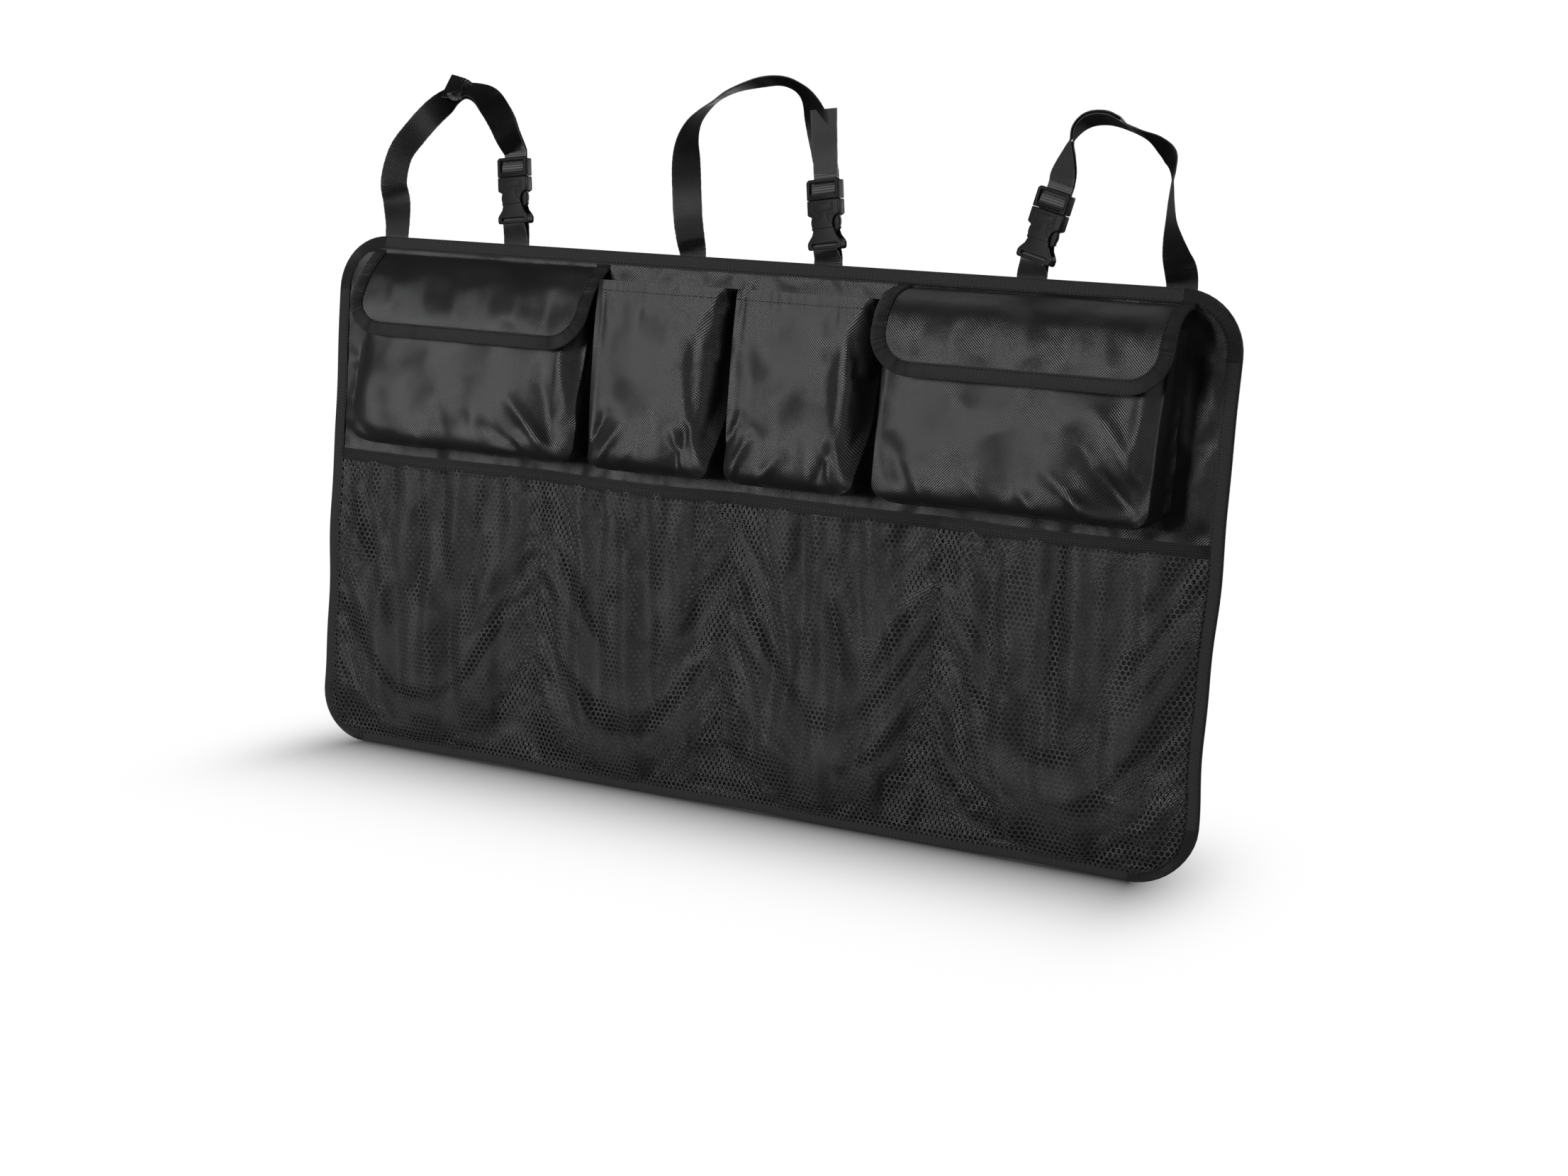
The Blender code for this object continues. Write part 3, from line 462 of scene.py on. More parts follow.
def catmull_matrix(count, factor):
    """Weights that turn values on a line of points into a smooth line with factor times the steps."""
    steps = (count - 1) * factor
    out = np.zeros((steps + 1, count))
    for k in range(steps + 1):
        i, t = divmod(k, factor)
        t /= factor
        if i >= count - 1:
            i, t = count - 2, 1.0
        weights = (-t + 2 * t**2 - t**3, 2 - 5 * t**2 + 3 * t**3, t + 4 * t**2 - 3 * t**3, -t**2 + t**3)
        for offset, weight in zip((-1, 0, 1, 2), weights):
            out[k, min(max(i + offset, 0), count - 1)] += weight / 2
    return out


def refine(grid, factor):
    """A grid of points with factor times the steps each way, on a smooth surface through them."""
    down = catmull_matrix(grid.shape[0], factor)
    along = catmull_matrix(grid.shape[1], factor)
    return np.einsum("ai,bj,ijk->abk", down, along, grid)


def grid_normals(grid):
    """Unit normals of a grid whose columns run along +X and whose rows run down: they face -Y."""
    across = np.gradient(grid, axis=1)
    down = np.gradient(grid, axis=0)
    normal = np.cross(across, down)
    length = np.linalg.norm(normal, axis=-1, keepdims=True)
    return -normal / np.maximum(length, 1e-12)


def sheet_faces(rows, columns):
    """Faces of a closed sheet: its front, its back, whose points come second, and its rim."""
    count = rows * columns
    edge = border(rows, columns)
    following = np.roll(edge, -1)
    rim = np.stack([edge, edge + count, following + count, following], -1)
    return np.concatenate([grid_faces(rows, columns), grid_faces(rows, columns, count)[:, ::-1], rim])


def cloth_piece(name, grid, uv, thickness, material):
    """A closed sheet: the grid given its thickness half on each side."""
    half = grid_normals(grid) * thickness / 2
    points = np.concatenate([(grid + half).reshape(-1, 3), (grid - half).reshape(-1, 3)])
    uvs = np.tile(uv.reshape(-1, 2), (2, 1))
    return closed_piece(name, points, sheet_faces(*grid.shape[:2]), material, uvs)


def outwards(obj):
    work = bmesh.new()
    work.from_mesh(obj.data)
    bmesh.ops.recalc_face_normals(work, faces=work.faces)
    if work.calc_volume(signed=True) < 0:
        bmesh.ops.reverse_faces(work, faces=work.faces)
    work.to_mesh(obj.data)
    work.free()
    obj.data.shade_smooth()
    obj.data.set_sharp_from_angle(angle=math.radians(50))


def border(rows, columns):
    """Indexes round a grid: along its first row, down, back along its last row and up."""
    index = np.arange(rows * columns).reshape(rows, columns)
    return np.concatenate([index[0, :-1], index[:-1, -1], index[-1, :0:-1], index[:0:-1, 0]])


def closed_piece(name, points, faces, material, uvs=None):
    obj = mesh_object(name, points, faces, material, uvs)
    outwards(obj)
    return obj


def swept(name, rings, material, along, around, closed=False):
    """A skin through rings of points, each a closed section, given the distances along and around it."""
    rings = np.asarray(rings)
    count, sides = rings.shape[:2]
    faces = grid_faces(count, sides, closed=True).tolist()
    last = (count - 1) * sides
    if closed:
        faces += [[last + j, last + (j + 1) % sides, (j + 1) % sides, j] for j in range(sides)]
    else:
        faces += [list(range(sides))[::-1], list(range(last, last + sides))]
    uvs = np.stack(np.meshgrid(along, around, indexing="ij"), -1).reshape(-1, 2)
    return closed_piece(name, rings.reshape(-1, 3), faces, material, uvs)


def distances(points):
    steps = np.linalg.norm(np.diff(points, axis=0), axis=1)
    return np.concatenate([[0], np.cumsum(steps)])


def interpolate(at, run, values):
    return np.stack([np.interp(at, run, column) for column in values.T], -1)


def resample(points, step):
    """Points at equal steps along a polyline, and the distance of each."""
    points = np.asarray(points, float)
    run = distances(points)
    at = np.linspace(0, run[-1], max(2, int(round(run[-1] / step)) + 1))
    return interpolate(at, run, points), at


def unit(vectors):
    return vectors / np.maximum(np.linalg.norm(vectors, axis=-1, keepdims=True), 1e-12)


def stitch_line(points, outwards_y):
    """A line of stitches whose normals face along Y, as (points, normals)."""
    return points, np.tile((0.0, outwards_y, 0.0), (len(points), 1))


def make_stitches(name, lines):
    """Short threads along lines, each (points, normals): every one dips into the cloth at its ends."""
    turns = 2 * np.pi * np.arange(STITCH_SIDES) / STITCH_SIDES
    rings = len(STITCH_PLACES)
    points, faces = [], []
    total = 0
    for line, normals in lines:
        both = np.concatenate([line, normals], axis=1)
        run = distances(both[:, :3])
        at = np.arange(STITCH_PITCH / 2, run[-1], STITCH_PITCH)
        here = interpolate(at, run, both)
        heading = interpolate(at + 0.5 * MM, run, both) - interpolate(at - 0.5 * MM, run, both)
        heading = unit(heading[:, :3])
        up = here[:, 3:]
        up = unit(up - heading * np.sum(up * heading, axis=1, keepdims=True))
        side = np.cross(heading, up)
        along, up, side = heading[:, None, None], up[:, None, None], side[:, None, None]
        middle = here[:, None, None, :3] + along * (STITCH_PLACES * STITCH_LENGTH)[:, None, None]
        middle = middle + up * STITCH_HEIGHTS[:, None, None]
        round_it = side * np.cos(turns)[:, None] + up * np.sin(turns)[:, None]
        points.append((middle + round_it * (STITCH_R * STITCH_WIDTHS)[:, None, None]).reshape(-1, 3))
        for first in range(total, total + len(points[-1]), rings * STITCH_SIDES):
            ends = np.arange(first, first + STITCH_SIDES)
            faces += grid_faces(rings, STITCH_SIDES, first, closed=True).tolist()
            faces += [ends[::-1], ends + (rings - 1) * STITCH_SIDES]
        total += len(points[-1])
    obj = closed_piece(name, np.concatenate(points), faces, thread)
    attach(obj, "organizer")


# Cloth that is draped

class Drape:
    """A cloth mesh that is pinned in places, grows a little, hangs and is then read back."""

    def __init__(self, name, points, faces, pins, grow, bending, pressure, cap, weight):
        self.rest = np.asarray(points, float).copy()
        self.cap = cap
        self.obj = mesh_object(f"drape_{name}", self.rest, np.asarray(faces)[:, ::-1], None)
        group = self.obj.vertex_groups.new(name="pins")
        group.add([int(i) for i in pins], 1.0, "REPLACE")
        cloth = self.obj.modifiers.new("Cloth", "CLOTH")
        settings = cloth.settings
        for key, value in CLOTH_SETTINGS.items():
            setattr(settings, key, value)
        settings.bending_stiffness = bending
        settings.shrink_min = -grow
        settings.shrink_max = -grow
        if pressure:
            settings.use_pressure = True
            settings.uniform_pressure_force = pressure
        cloth.collision_settings.use_collision = True
        cloth.collision_settings.distance_min = 1 * MM
        cloth.collision_settings.collision_quality = 3
        settings.effector_weights.gravity = weight
        drapes.append(self)

    def read(self):
        graph = bpy.context.evaluated_depsgraph_get()
        mesh = self.obj.evaluated_get(graph).to_mesh()
        points = np.zeros(len(mesh.vertices) * 3)
        mesh.vertices.foreach_get("co", points)
        self.obj.evaluated_get(graph).to_mesh_clear()
        move = points.reshape(-1, 3) - self.rest
        length = np.linalg.norm(move, axis=1, keepdims=True)
        limit = self.cap * np.tanh(length / self.cap)
        self.result = self.rest + move * limit / np.maximum(length, 1e-9)

    def remove(self):
        mesh = self.obj.data
        bpy.data.objects.remove(self.obj)
        bpy.data.meshes.remove(mesh)


def run_drapes():
    """All the drapes hang in front of the panel in one run."""
    wall = collider("wall", (-PANEL_W, FRONT + 2.6 * MM, -PANEL_H), (PANEL_W, 0.03, PANEL_H))
    scene = bpy.context.scene
    scene.frame_start, scene.frame_end = 1, FRAMES
    for drape in drapes:
        drape.obj.modifiers["Cloth"].point_cache.frame_end = FRAMES
    for number in range(1, FRAMES + 1):
        scene.frame_set(number)
    for drape in drapes:
        drape.read()
    for drape in drapes:
        drape.remove()
    bpy.data.objects.remove(wall)
    scene.frame_set(1)


def collider(name, low, high):
    work = bmesh.new()
    bmesh.ops.create_cube(work, size=1)
    low, high = Vector(low), Vector(high)
    matrix = Matrix.Translation((low + high) / 2) @ Matrix.Diagonal((*(high - low), 1))
    bmesh.ops.transform(work, matrix=matrix, verts=work.verts)
    obj = bmesh_object(name, work)
    obj.modifiers.new("Collision", "COLLISION")
    obj.collision.thickness_outer = 1 * MM
    obj.collision.thickness_inner = 5 * MM
    obj.collision.cloth_friction = 5
    return obj


def unevenness(points, size, amount, seed):
    """A smooth wandering offset for each point, from a few plane waves."""
    wander = np.random.default_rng(seed)
    out = np.zeros(len(points))
    for _ in range(9):
        direction = unit(wander.normal(size=3))
        wave = wander.uniform(0.6, 1.8) * 2 * math.pi / size
        out += np.sin(points @ direction * wave + wander.uniform(0, 2 * math.pi))
    return out * amount / 3


def creases(places, lines):
    """Heights of soft folds at flat places. A fold is (from, to, width, height) in millimetres."""
    out = np.zeros(places.shape[:-1])
    for start, end, width, height in lines:
        start, end = np.array(start) * MM, np.array(end) * MM
        run = end - start
        length = np.linalg.norm(run)
        offset = places - start
        along = offset @ run / length**2
        side = (offset[..., 0] * run[1] - offset[..., 1] * run[0]) / length
        fade = np.clip(1 - (2 * along - 1) ** 2, 0, 1)
        out += height * MM * fade * np.exp(1 - np.sqrt(1 + (side / (width * MM)) ** 2))
    return out


# Panel

def outline_half(z, inset):
    """Half the panel's width at height z, with its rounded corners."""
    radius = CORNER_R - inset
    over = max(0.0, abs(z) - (PANEL_H / 2 - CORNER_R))
    return PANEL_W / 2 - CORNER_R + math.sqrt(max(0.0, radius**2 - over**2))


def row_heights(inset, straight_rows, corner_rows):
    """Heights from the panel's top to its bottom, closer together round the corners."""
    z = PANEL_H / 2 - CORNER_R
    radius = CORNER_R - inset
    bend = [z + radius * math.sin(math.pi / 2 * i / corner_rows) for i in range(corner_rows, 0, -1)]
    middle = [z - 2 * z * i / straight_rows for i in range(straight_rows + 1)]
    return np.array(bend + middle + [-v for v in reversed(bend)])


# Folds of the panel's cloth, as (from, to, width, height) in millimetres from the panel's middle
PANEL_FOLDS = [
    ((394, 212), (402, 120), 5, 4.5), ((402, 130), (392, 48), 5, 4), ((386, 200), (388, 90), 3.5, -2),
    ((404, 80), (396, 40), 4, 3), ((-392, 190), (-388, 120), 4, 2.5), ((-396, 120), (-392, 52), 4, 2.5),
    ((-120, 220), (-104, 190), 4, 3), ((-92, 222), (-60, 205), 4, 2.5), ((-40, 221), (-22, 198), 4, 3.5),
    ((-8, 222), (10, 196), 4, 4), ((30, 221), (62, 208), 4, 3), ((80, 222), (100, 200), 4, 3),
    ((108, 222), (128, 200), 4, 3), ((-330, 53), (-250, 50), 3, 2), ((-190, 54), (-120, 50), 3, 2.5),
    ((-100, 54), (-40, 50), 3, 3), ((0, 54), (70, 50), 3, 3), ((90, 52), (180, 48), 3, 3),
    ((200, 53), (280, 47), 3, 3), ((290, 52), (380, 47), 3.5, 3.5),
]
NET_BACK_FOLDS = [
    ((-372, 20), (-345, -80), 12, 4), ((-340, -40), (-352, -205), 13, 5.5),
    ((-300, 20), (-290, -90), 10, -2.5),
    ((-262, 10), (-240, -120), 12, 5), ((-228, -60), (-236, -200), 11, 4), ((-160, 25), (-138, -70), 11, 4.5),
    ((-128, 10), (-104, -110), 13, 6), ((-112, -90), (-96, -210), 12, 5), ((-66, 20), (-58, -120), 10, 4.5),
    ((-50, -90), (-62, -205), 11, 4), ((38, 25), (52, -80), 12, 5), ((70, -20), (58, -130), 13, 6),
    ((96, 20), (120, -110), 12, 5), ((44, -120), (70, -212), 12, 4.5), ((130, -100), (112, -210), 12, 5),
    ((158, 20), (150, -110), 10, 4), ((225, 22), (240, -80), 12, 5), ((256, -40), (236, -160), 12, 5.5),
    ((292, 20), (280, -120), 12, 5.5), ((300, -80), (330, -205), 12, 5), ((345, 20), (352, -100), 11, 4.5),
    ((372, -60), (350, -190), 12, 5), ((250, -130), (268, -212), 11, 4.5),
]


def net_room(x, z):
    """How far the panel's cloth may stand out behind the net and the elastic."""
    down = min(1.0, max(0.0, (ELASTIC_LOW - z) / (ELASTIC_LOW - BOTTOM)))
    ends = min(1.0, down / 0.08 + 0.25) * min(1.0, (1 - down) / 0.2)
    return 1.2 * MM + 0.42 * bow(x, NET_BULGE) * ends


def make_panel_drape():
    columns = 105
    heights = row_heights(PANEL_INSET, 46, 6)
    shares = np.linspace(-1, 1, columns)
    grid = np.zeros((len(heights), columns, 3))
    for i, z in enumerate(heights):
        half = outline_half(z, PANEL_INSET)
        grid[i, :, 0] = shares * half
        grid[i, :, 1] = FRONT
        grid[i, :, 2] = z
    points = grid.reshape(-1, 3)
    x, z = points[:, 0], points[:, 2]
    edge = np.array([outline_half(v, 0) for v in z]) - np.abs(x)
    pinned = (edge < BINDING_W) | (np.abs(z) > PANEL_H / 2 - BINDING_W)
    for low, high in POCKET_SPANS:
        pinned |= (x > low) & (x < high) & (z > POCKET_BOTTOM) & (z < POCKET_TOP + 6 * MM)
    for seam in NET_SEAMS:
        pinned |= (np.abs(x - seam) < 4.1 * MM) & (z < ELASTIC_LOW)
    start, flat = points.copy(), points[:, (0, 2)]
    bumps = unevenness(points, 75 * MM, 0.9 * MM, 3)
    above = z > POCKET_BOTTOM - 14 * MM
    bumps += np.where(above, creases(flat, PANEL_FOLDS), creases(flat, NET_BACK_FOLDS))
    start[:, 1] -= np.where(pinned, 0, bumps)
    shape, pins = grid.shape[:2], np.flatnonzero(pinned)
    return Drape("panel", start, grid_faces(*shape), pins, 0.012, 0.4, 0, 5 * MM, 1.0), shape


def make_panel(drape, shape):
    front = drape.result.reshape(*shape, 3).copy()
    x, z = front[..., 0], front[..., 2]
    room = np.where(z < ELASTIC_HIGH + 2 * MM, np.vectorize(net_room)(x, z), 1.0)
    out = np.clip(FRONT - front[..., 1], -PANEL_SINK, PANEL_SWELL)
    front[..., 1] = FRONT - np.minimum(out, room)
    front = refine(front, 2)
    back = front.copy()
    x, z = back[..., 0], back[..., 2]
    back[..., 1] = -0.1 * MM - 0.35 * MM * (np.sin(x * 60) * np.sin(z * 55)) ** 2
    points = np.concatenate([front.reshape(-1, 3), back.reshape(-1, 3)])
    faces = sheet_faces(*front.shape[:2])
    panel = closed_piece("panel_cloth", warp(points), faces, fabric, points[:, (0, 2)])
    stands_for(panel, "back_panel")


def warp(points):
    """The whole panel is a little wavy: its sides and its foot wander by a millimetre or two."""
    points = np.asarray(points, float)
    out = points.copy()
    x, z = points[:, 0], points[:, 2]
    side = (np.clip(np.abs(x) / (PANEL_W / 2), 0, 1)) ** 3
    foot = np.clip(-z / (PANEL_H / 2), 0, 1) ** 3
    below = np.clip((TOP - z) / PANEL_H, 0, 1)
    out[:, 0] += side * below * (1.6 * np.sin(z * 31 + np.sign(x)) + 0.9 * np.sin(z * 67 + 1)) * MM
    out[:, 2] += foot * (0.7 * np.sin(x * 23 + 1) + 0.3 * np.sin(x * 51)) * MM
    return out


def outline_points(inset, step):
    """Round the panel's outline from the top right corner: points and outward directions in XZ."""
    x, z = PANEL_W / 2 - CORNER_R, PANEL_H / 2 - CORNER_R
    rows = []
    for cx, cz, start in ((x, z, 0), (-x, z, 90), (-x, -z, 180), (x, -z, 270)):
        for turn in np.radians(np.linspace(start, start + 90, 13)):
            out = np.array([math.cos(turn), 0, math.sin(turn)])
            rows.append([*(np.array([cx, 0, cz]) + out * (CORNER_R - inset)), *out])
    both, at = resample(rows + rows[:1], step)
    return both[:-1, :3], unit(both[:-1, 3:]), at[:-1]


def warped(rings):
    rings = np.array(rings)
    return warp(rings.reshape(-1, 3)).reshape(rings.shape)


def make_binding():
    """Tape folded over the panel's edge, puckered a little along its stitching."""
    places, outs, at = outline_points(0, 4 * MM)
    front, back = FRONT - 0.3 * MM, 0.3 * MM
    mid, radius = (front + back) / 2, (back - front) / 2 + BINDING_T
    section = [(-BINDING_W, front - 0.2 * MM), (-BINDING_W, front - BINDING_T)]
    section += [(-0.6 * BINDING_W, front - 1.15 * BINDING_T)]
    section += [(-radius * (1 - math.cos(a)), mid - radius * math.sin(a))
                for a in np.radians(np.linspace(90, -90, 9))]
    section += [(-0.6 * BINDING_W, back + 1.15 * BINDING_T)]
    section += [(-BINDING_W, back + BINDING_T), (-BINDING_W, back + 0.2 * MM)]
    section += [(-2.5 * MM, back + 0.1 * MM), (-2.5 * MM, front - 0.1 * MM)]
    rings = []
    for place, out, run in zip(places, outs, at):
        pucker = 0.22 * MM * math.sin(run / (6.8 * MM)) * math.sin(run / (31 * MM) + 1)
        ring = []
        for r, y in section:
            inner = min(1.0, -r / BINDING_W) if r < 0 else 0
            sign = -1 if y < mid else 1
            ring.append(place + out * r + np.array([0, y + sign * pucker * inner, 0]))
        rings.append(ring)
    around = distances(np.array(section))
    binding = swept("edge_binding_tape", warped(rings), tape, at, around, closed=True)
    stands_for(binding, "edge_binding")
    stitch_places, _, _ = outline_points(BINDING_W - 1.8 * MM, 4 * MM)
    loop = np.concatenate([stitch_places, stitch_places[:1]])
    lines = []
    for y, normal_y in ((front - BINDING_T, -1.0), (back + BINDING_T, 1.0)):
        line = loop.copy()
        line[:, 1] = y
        lines.append(stitch_line(warp(line), normal_y))
    make_stitches("edge_binding_stitches", lines)


# Pockets

POCKET_SPANS = []
for node in ("left_pocket_front", "right_pocket_front", "centre_left_pocket", "centre_right_pocket"):
    low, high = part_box(node)
    POCKET_SPANS.append((low.x, high.x))


def apron_rows(half, length, radius, columns, rows, corner_rows):
    """Flat places (x, s) of a sheet that hangs from s = 0 and has its lower corners rounded."""
    straight = length - radius
    marks = [straight * i / rows for i in range(rows)]
    marks += [straight + radius * math.sin(math.pi / 2 * i / corner_rows) for i in range(corner_rows + 1)]
    grid = np.zeros((len(marks), columns + 1, 2))
    for i, s in enumerate(marks):
        over = max(0.0, s - straight)
        wide = half - radius + math.sqrt(max(0.0, radius**2 - over**2))
        grid[i, :, 0] = wide * np.linspace(-1, 1, columns + 1)
        grid[i, :, 1] = s
    return grid


class Pocket:
    """A pocket's front and the strip round its sides and foot, draped as one cloth."""

    def __init__(self, name, node, top, height, depth, folds, radius, columns, steps, grow, pressure, seed):
        low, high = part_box(node)
        middle, half = (low.x + high.x) / 2, (high.x - low.x) / 2
        self.flat = apron_rows(half, height, radius, columns, POCKET_ROWS, 4)
        front = np.zeros((*self.flat.shape[:2], 3))
        x, s = self.flat[..., 0], self.flat[..., 1]
        front[..., 0] = middle + x
        out = depth(x / half, s / height) + creases(self.flat, folds)
        front[..., 1] = FRONT - np.maximum(out, 6 * MM)
        front[..., 2] = top - s
        shape = front.shape[:2]
        index = np.arange(shape[0] * shape[1]).reshape(shape)
        rim = np.concatenate([index[:, 0], index[-1, 1:-1], index[::-1, -1]])
        points = [front.reshape(-1, 3)]
        rim_points = points[0][rim]
        strip = [rim]
        total = len(points[0])
        for k in range(1, steps + 1):
            row = rim_points.copy()
            row[:, 1] += (FRONT - POCKET_SEAM_GAP - rim_points[:, 1]) * (k / steps)
            points.append(row)
            strip.append(np.arange(total, total + len(rim)))
            total += len(rim)
        points = np.concatenate(points)
        self.front_index = index
        self.strip_index = np.array(strip)
        faces = np.concatenate([grid_faces(*shape), strip_faces(self.strip_index)])
        sewn = (self.strip_index[-1], index[0], self.strip_index[:, 0], self.strip_index[:, -1])
        pins = sorted(set(np.concatenate(sewn)))
        free = np.ones(len(points), bool)
        free[pins] = False
        points[:, 1] -= np.where(free, unevenness(points, 60 * MM, 0.8 * MM, seed), 0)
        self.drape = Drape(name, points, faces, pins, grow, 0.35, pressure, 6 * MM, 0.5)

    def grids(self):
        points = self.drape.result.copy()
        points[:, 1] = np.minimum(points[:, 1], FRONT - POCKET_SEAM_GAP)
        return points[self.front_index], points[self.strip_index]


def strip_faces(index):
    a, b = index[:-1, :-1], index[:-1, 1:]
    c, d = index[1:, 1:], index[1:, :-1]
    return np.stack([a, b, c, d], -1).reshape(-1, 4)


def strip_uv(grid):
    """Flat places on a strip, from the distances along and across it."""
    along = distances(grid[0])
    return np.stack(np.meshgrid(along, distances(grid[:, len(along) // 2])), -1)


def box_size(node):
    low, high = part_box(node)
    return high.x - low.x, high.z - low.z


POCKET_ROWS = 36
HEM_ROW = 4
POCKET_SEAM_GAP = 0.5 * MM

# How far each flapped pocket's rim hangs below the open pockets', and how far its front stands off
# the panel at its top and at its foot
RIM_DROP = {"left": 10 * MM, "right": 6 * MM}
POCKET_TOP_DEPTH = {"left": 21 * MM, "right": 37 * MM}
POCKET_FOOT_DEPTH = {"left": 50 * MM, "right": 61 * MM}

# Folds of the pockets' fronts, as (from, to, width, height) in millimetres from the top's middle
POCKET_FOLDS = {
    "left": [
        ((46, 92), (116, 156), 4.5, 6), ((22, 118), (100, 158), 4, -4), ((74, 62), (104, 152), 6, -6),
        ((92, 40), (116, 112), 6, 5), ((58, 126), (88, 158), 3, 3.5), ((-118, 128), (-66, 152), 5, -3.5),
        ((-100, 96), (-84, 158), 7, 2.5), ((-62, 70), (-74, 150), 8, 2), ((-20, 100), (-6, 158), 6, -2.5),
        ((8, 80), (30, 156), 6, 2.5), ((-44, 132), (-30, 158), 4, 2.5), ((-8, 60), (-36, 130), 10, 1.6),
    ],
    "right": [
        ((44, 78), (110, 154), 6, -6), ((62, 62), (118, 128), 5, 5), ((24, 112), (92, 156), 4.5, 5),
        ((70, 108), (116, 150), 4, -4.5), ((50, 128), (78, 158), 3.5, 3.5), ((-34, 116), (-8, 158), 5, 3.5),
        ((-74, 146), (-108, 96), 7, -4), ((-14, 90), (14, 150), 8, -2), ((-92, 110), (-60, 158), 5, 3),
        ((104, 8), (100, 120), 4, 3.5), ((8, 128), (30, 158), 4, 3), ((-50, 60), (-62, 120), 10, 2),
    ],
    "centre_left_pocket": [
        ((-64, 152), (-40, 106), 3.5, -5), ((-54, 158), (-22, 118), 4, 4), ((-34, 158), (-12, 138), 3, 2.5),
        ((26, 158), (38, 112), 3.5, -4.5), ((42, 158), (22, 116), 3, 4), ((-16, 12), (-22, 116), 11, 2.5),
        ((4, 92), (14, 156), 7, 2), ((-44, 30), (-50, 110), 8, -1.5), ((20, 18), (28, 70), 7, 2),
    ],
    "centre_right_pocket": [
        ((-66, 140), (-46, 96), 3.5, -5), ((-58, 158), (-34, 112), 4, 5), ((-30, 158), (-8, 134), 3, 2.5),
        ((22, 158), (40, 118), 3.5, -4.5), ((46, 156), (28, 112), 3, 4), ((2, 20), (-6, 120), 11, 2.5),
        ((36, 44), (54, 92), 5, 4), ((-46, 40), (-40, 104), 8, -1.5), ((12, 108), (20, 158), 6, 2),
    ],
}


def rounded_foot(down, reach, amount):
    """How far a front draws back where it turns under at its foot."""
    over = np.clip((down - 1 + reach) / reach, 0, 1)
    return amount * (1 - np.sqrt(1 - over**2 * 0.98))


def make_flapped_pocket(side):
    node, top = f"{side}_pocket_front", POCKET_TOP - RIM_DROP[side]
    at_top, at_foot = POCKET_TOP_DEPTH[side], POCKET_FOOT_DEPTH[side]
    side_draw, pressure, seed = (9 * MM, 0.4, 5) if side == "left" else (7 * MM, 0.7, 8)

    def depth(across, down):
        crown = 6 * MM * np.sin(np.pi * np.clip(down, 0, 1)) * (1 - across**2)
        out = at_top + (at_foot - at_top) * down**0.75 + crown
        sides = side_draw * np.clip((np.abs(across) - 0.8) / 0.2, 0, 1) ** 2
        return out - sides - rounded_foot(down, 0.10, 9 * MM)

    return Pocket(side, node, top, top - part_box(node)[0].z, depth,
                  POCKET_FOLDS[side], 12 * MM, 58, 10, 0.014, pressure, seed)


def make_open_pocket(name, seed):
    def depth(across, down):
        """The front turns back right of a ridge that runs from corner to corner in a bow."""
        lean = 34 * MM + 15 * MM * down**0.8
        crown = 5 * MM * np.sin(np.pi * np.clip(down, 0, 1)) * (1 - across**2)
        ridge = 0.97 - 0.52 * np.sin(np.pi * np.clip(down, 0, 1) ** 0.85)
        past = np.clip(across - ridge, 0, 2)
        back = 64 * MM * (np.sqrt(past**2 + 0.006) - 0.0775)
        edge = 3 * MM * np.clip((-across - 0.85) / 0.15, 0, 1) ** 2
        return lean + crown - back - edge - rounded_foot(down, 0.08, 7 * MM)

    return Pocket(name, name, POCKET_TOP, box_size(name)[1], depth,
                  POCKET_FOLDS[name], 7 * MM, 36, 9, 0.008, 0.5, seed)


def finish_pocket(pocket, face_name, face_node, sides_name, sides_node):
    """The draped front and the strip round it as two pieces of cloth. Gives back the front's points."""
    front, strip = pocket.grids()
    fine, fine_strip = refine(front, 2), refine(strip, 2)
    face = cloth_piece(face_name, fine, refine(pocket.flat, 2), CLOTH_T, fabric)
    stands_for(face, face_node)
    sides = cloth_piece(sides_name, fine_strip, strip_uv(fine_strip), CLOTH_T, fabric)
    stands_for(sides, sides_node)
    return fine


def finish_open_pocket(pocket, name):
    fine = finish_pocket(pocket, f"{name}_face", name, f"{name}_sides", name)
    normals = grid_normals(fine)[HEM_ROW]
    hem = fine[HEM_ROW] + normals * (CLOTH_T / 2 + 0.05 * MM)
    make_stitches(f"{name}_hem_stitches", [(hem, normals)])


# Net and elastic

def net_edge():
    return PANEL_W / 2 - BINDING_W + 3 * MM


def bow(x, amount):
    """How far a piece sewn at the net's seams stands off the panel between them."""
    marks = (-net_edge(), *NET_SEAMS, net_edge())
    for low, high in zip(marks, marks[1:]):
        if low <= x <= high:
            return amount * math.sin(math.pi * (x - low) / (high - low)) ** 0.9
    return 0.0


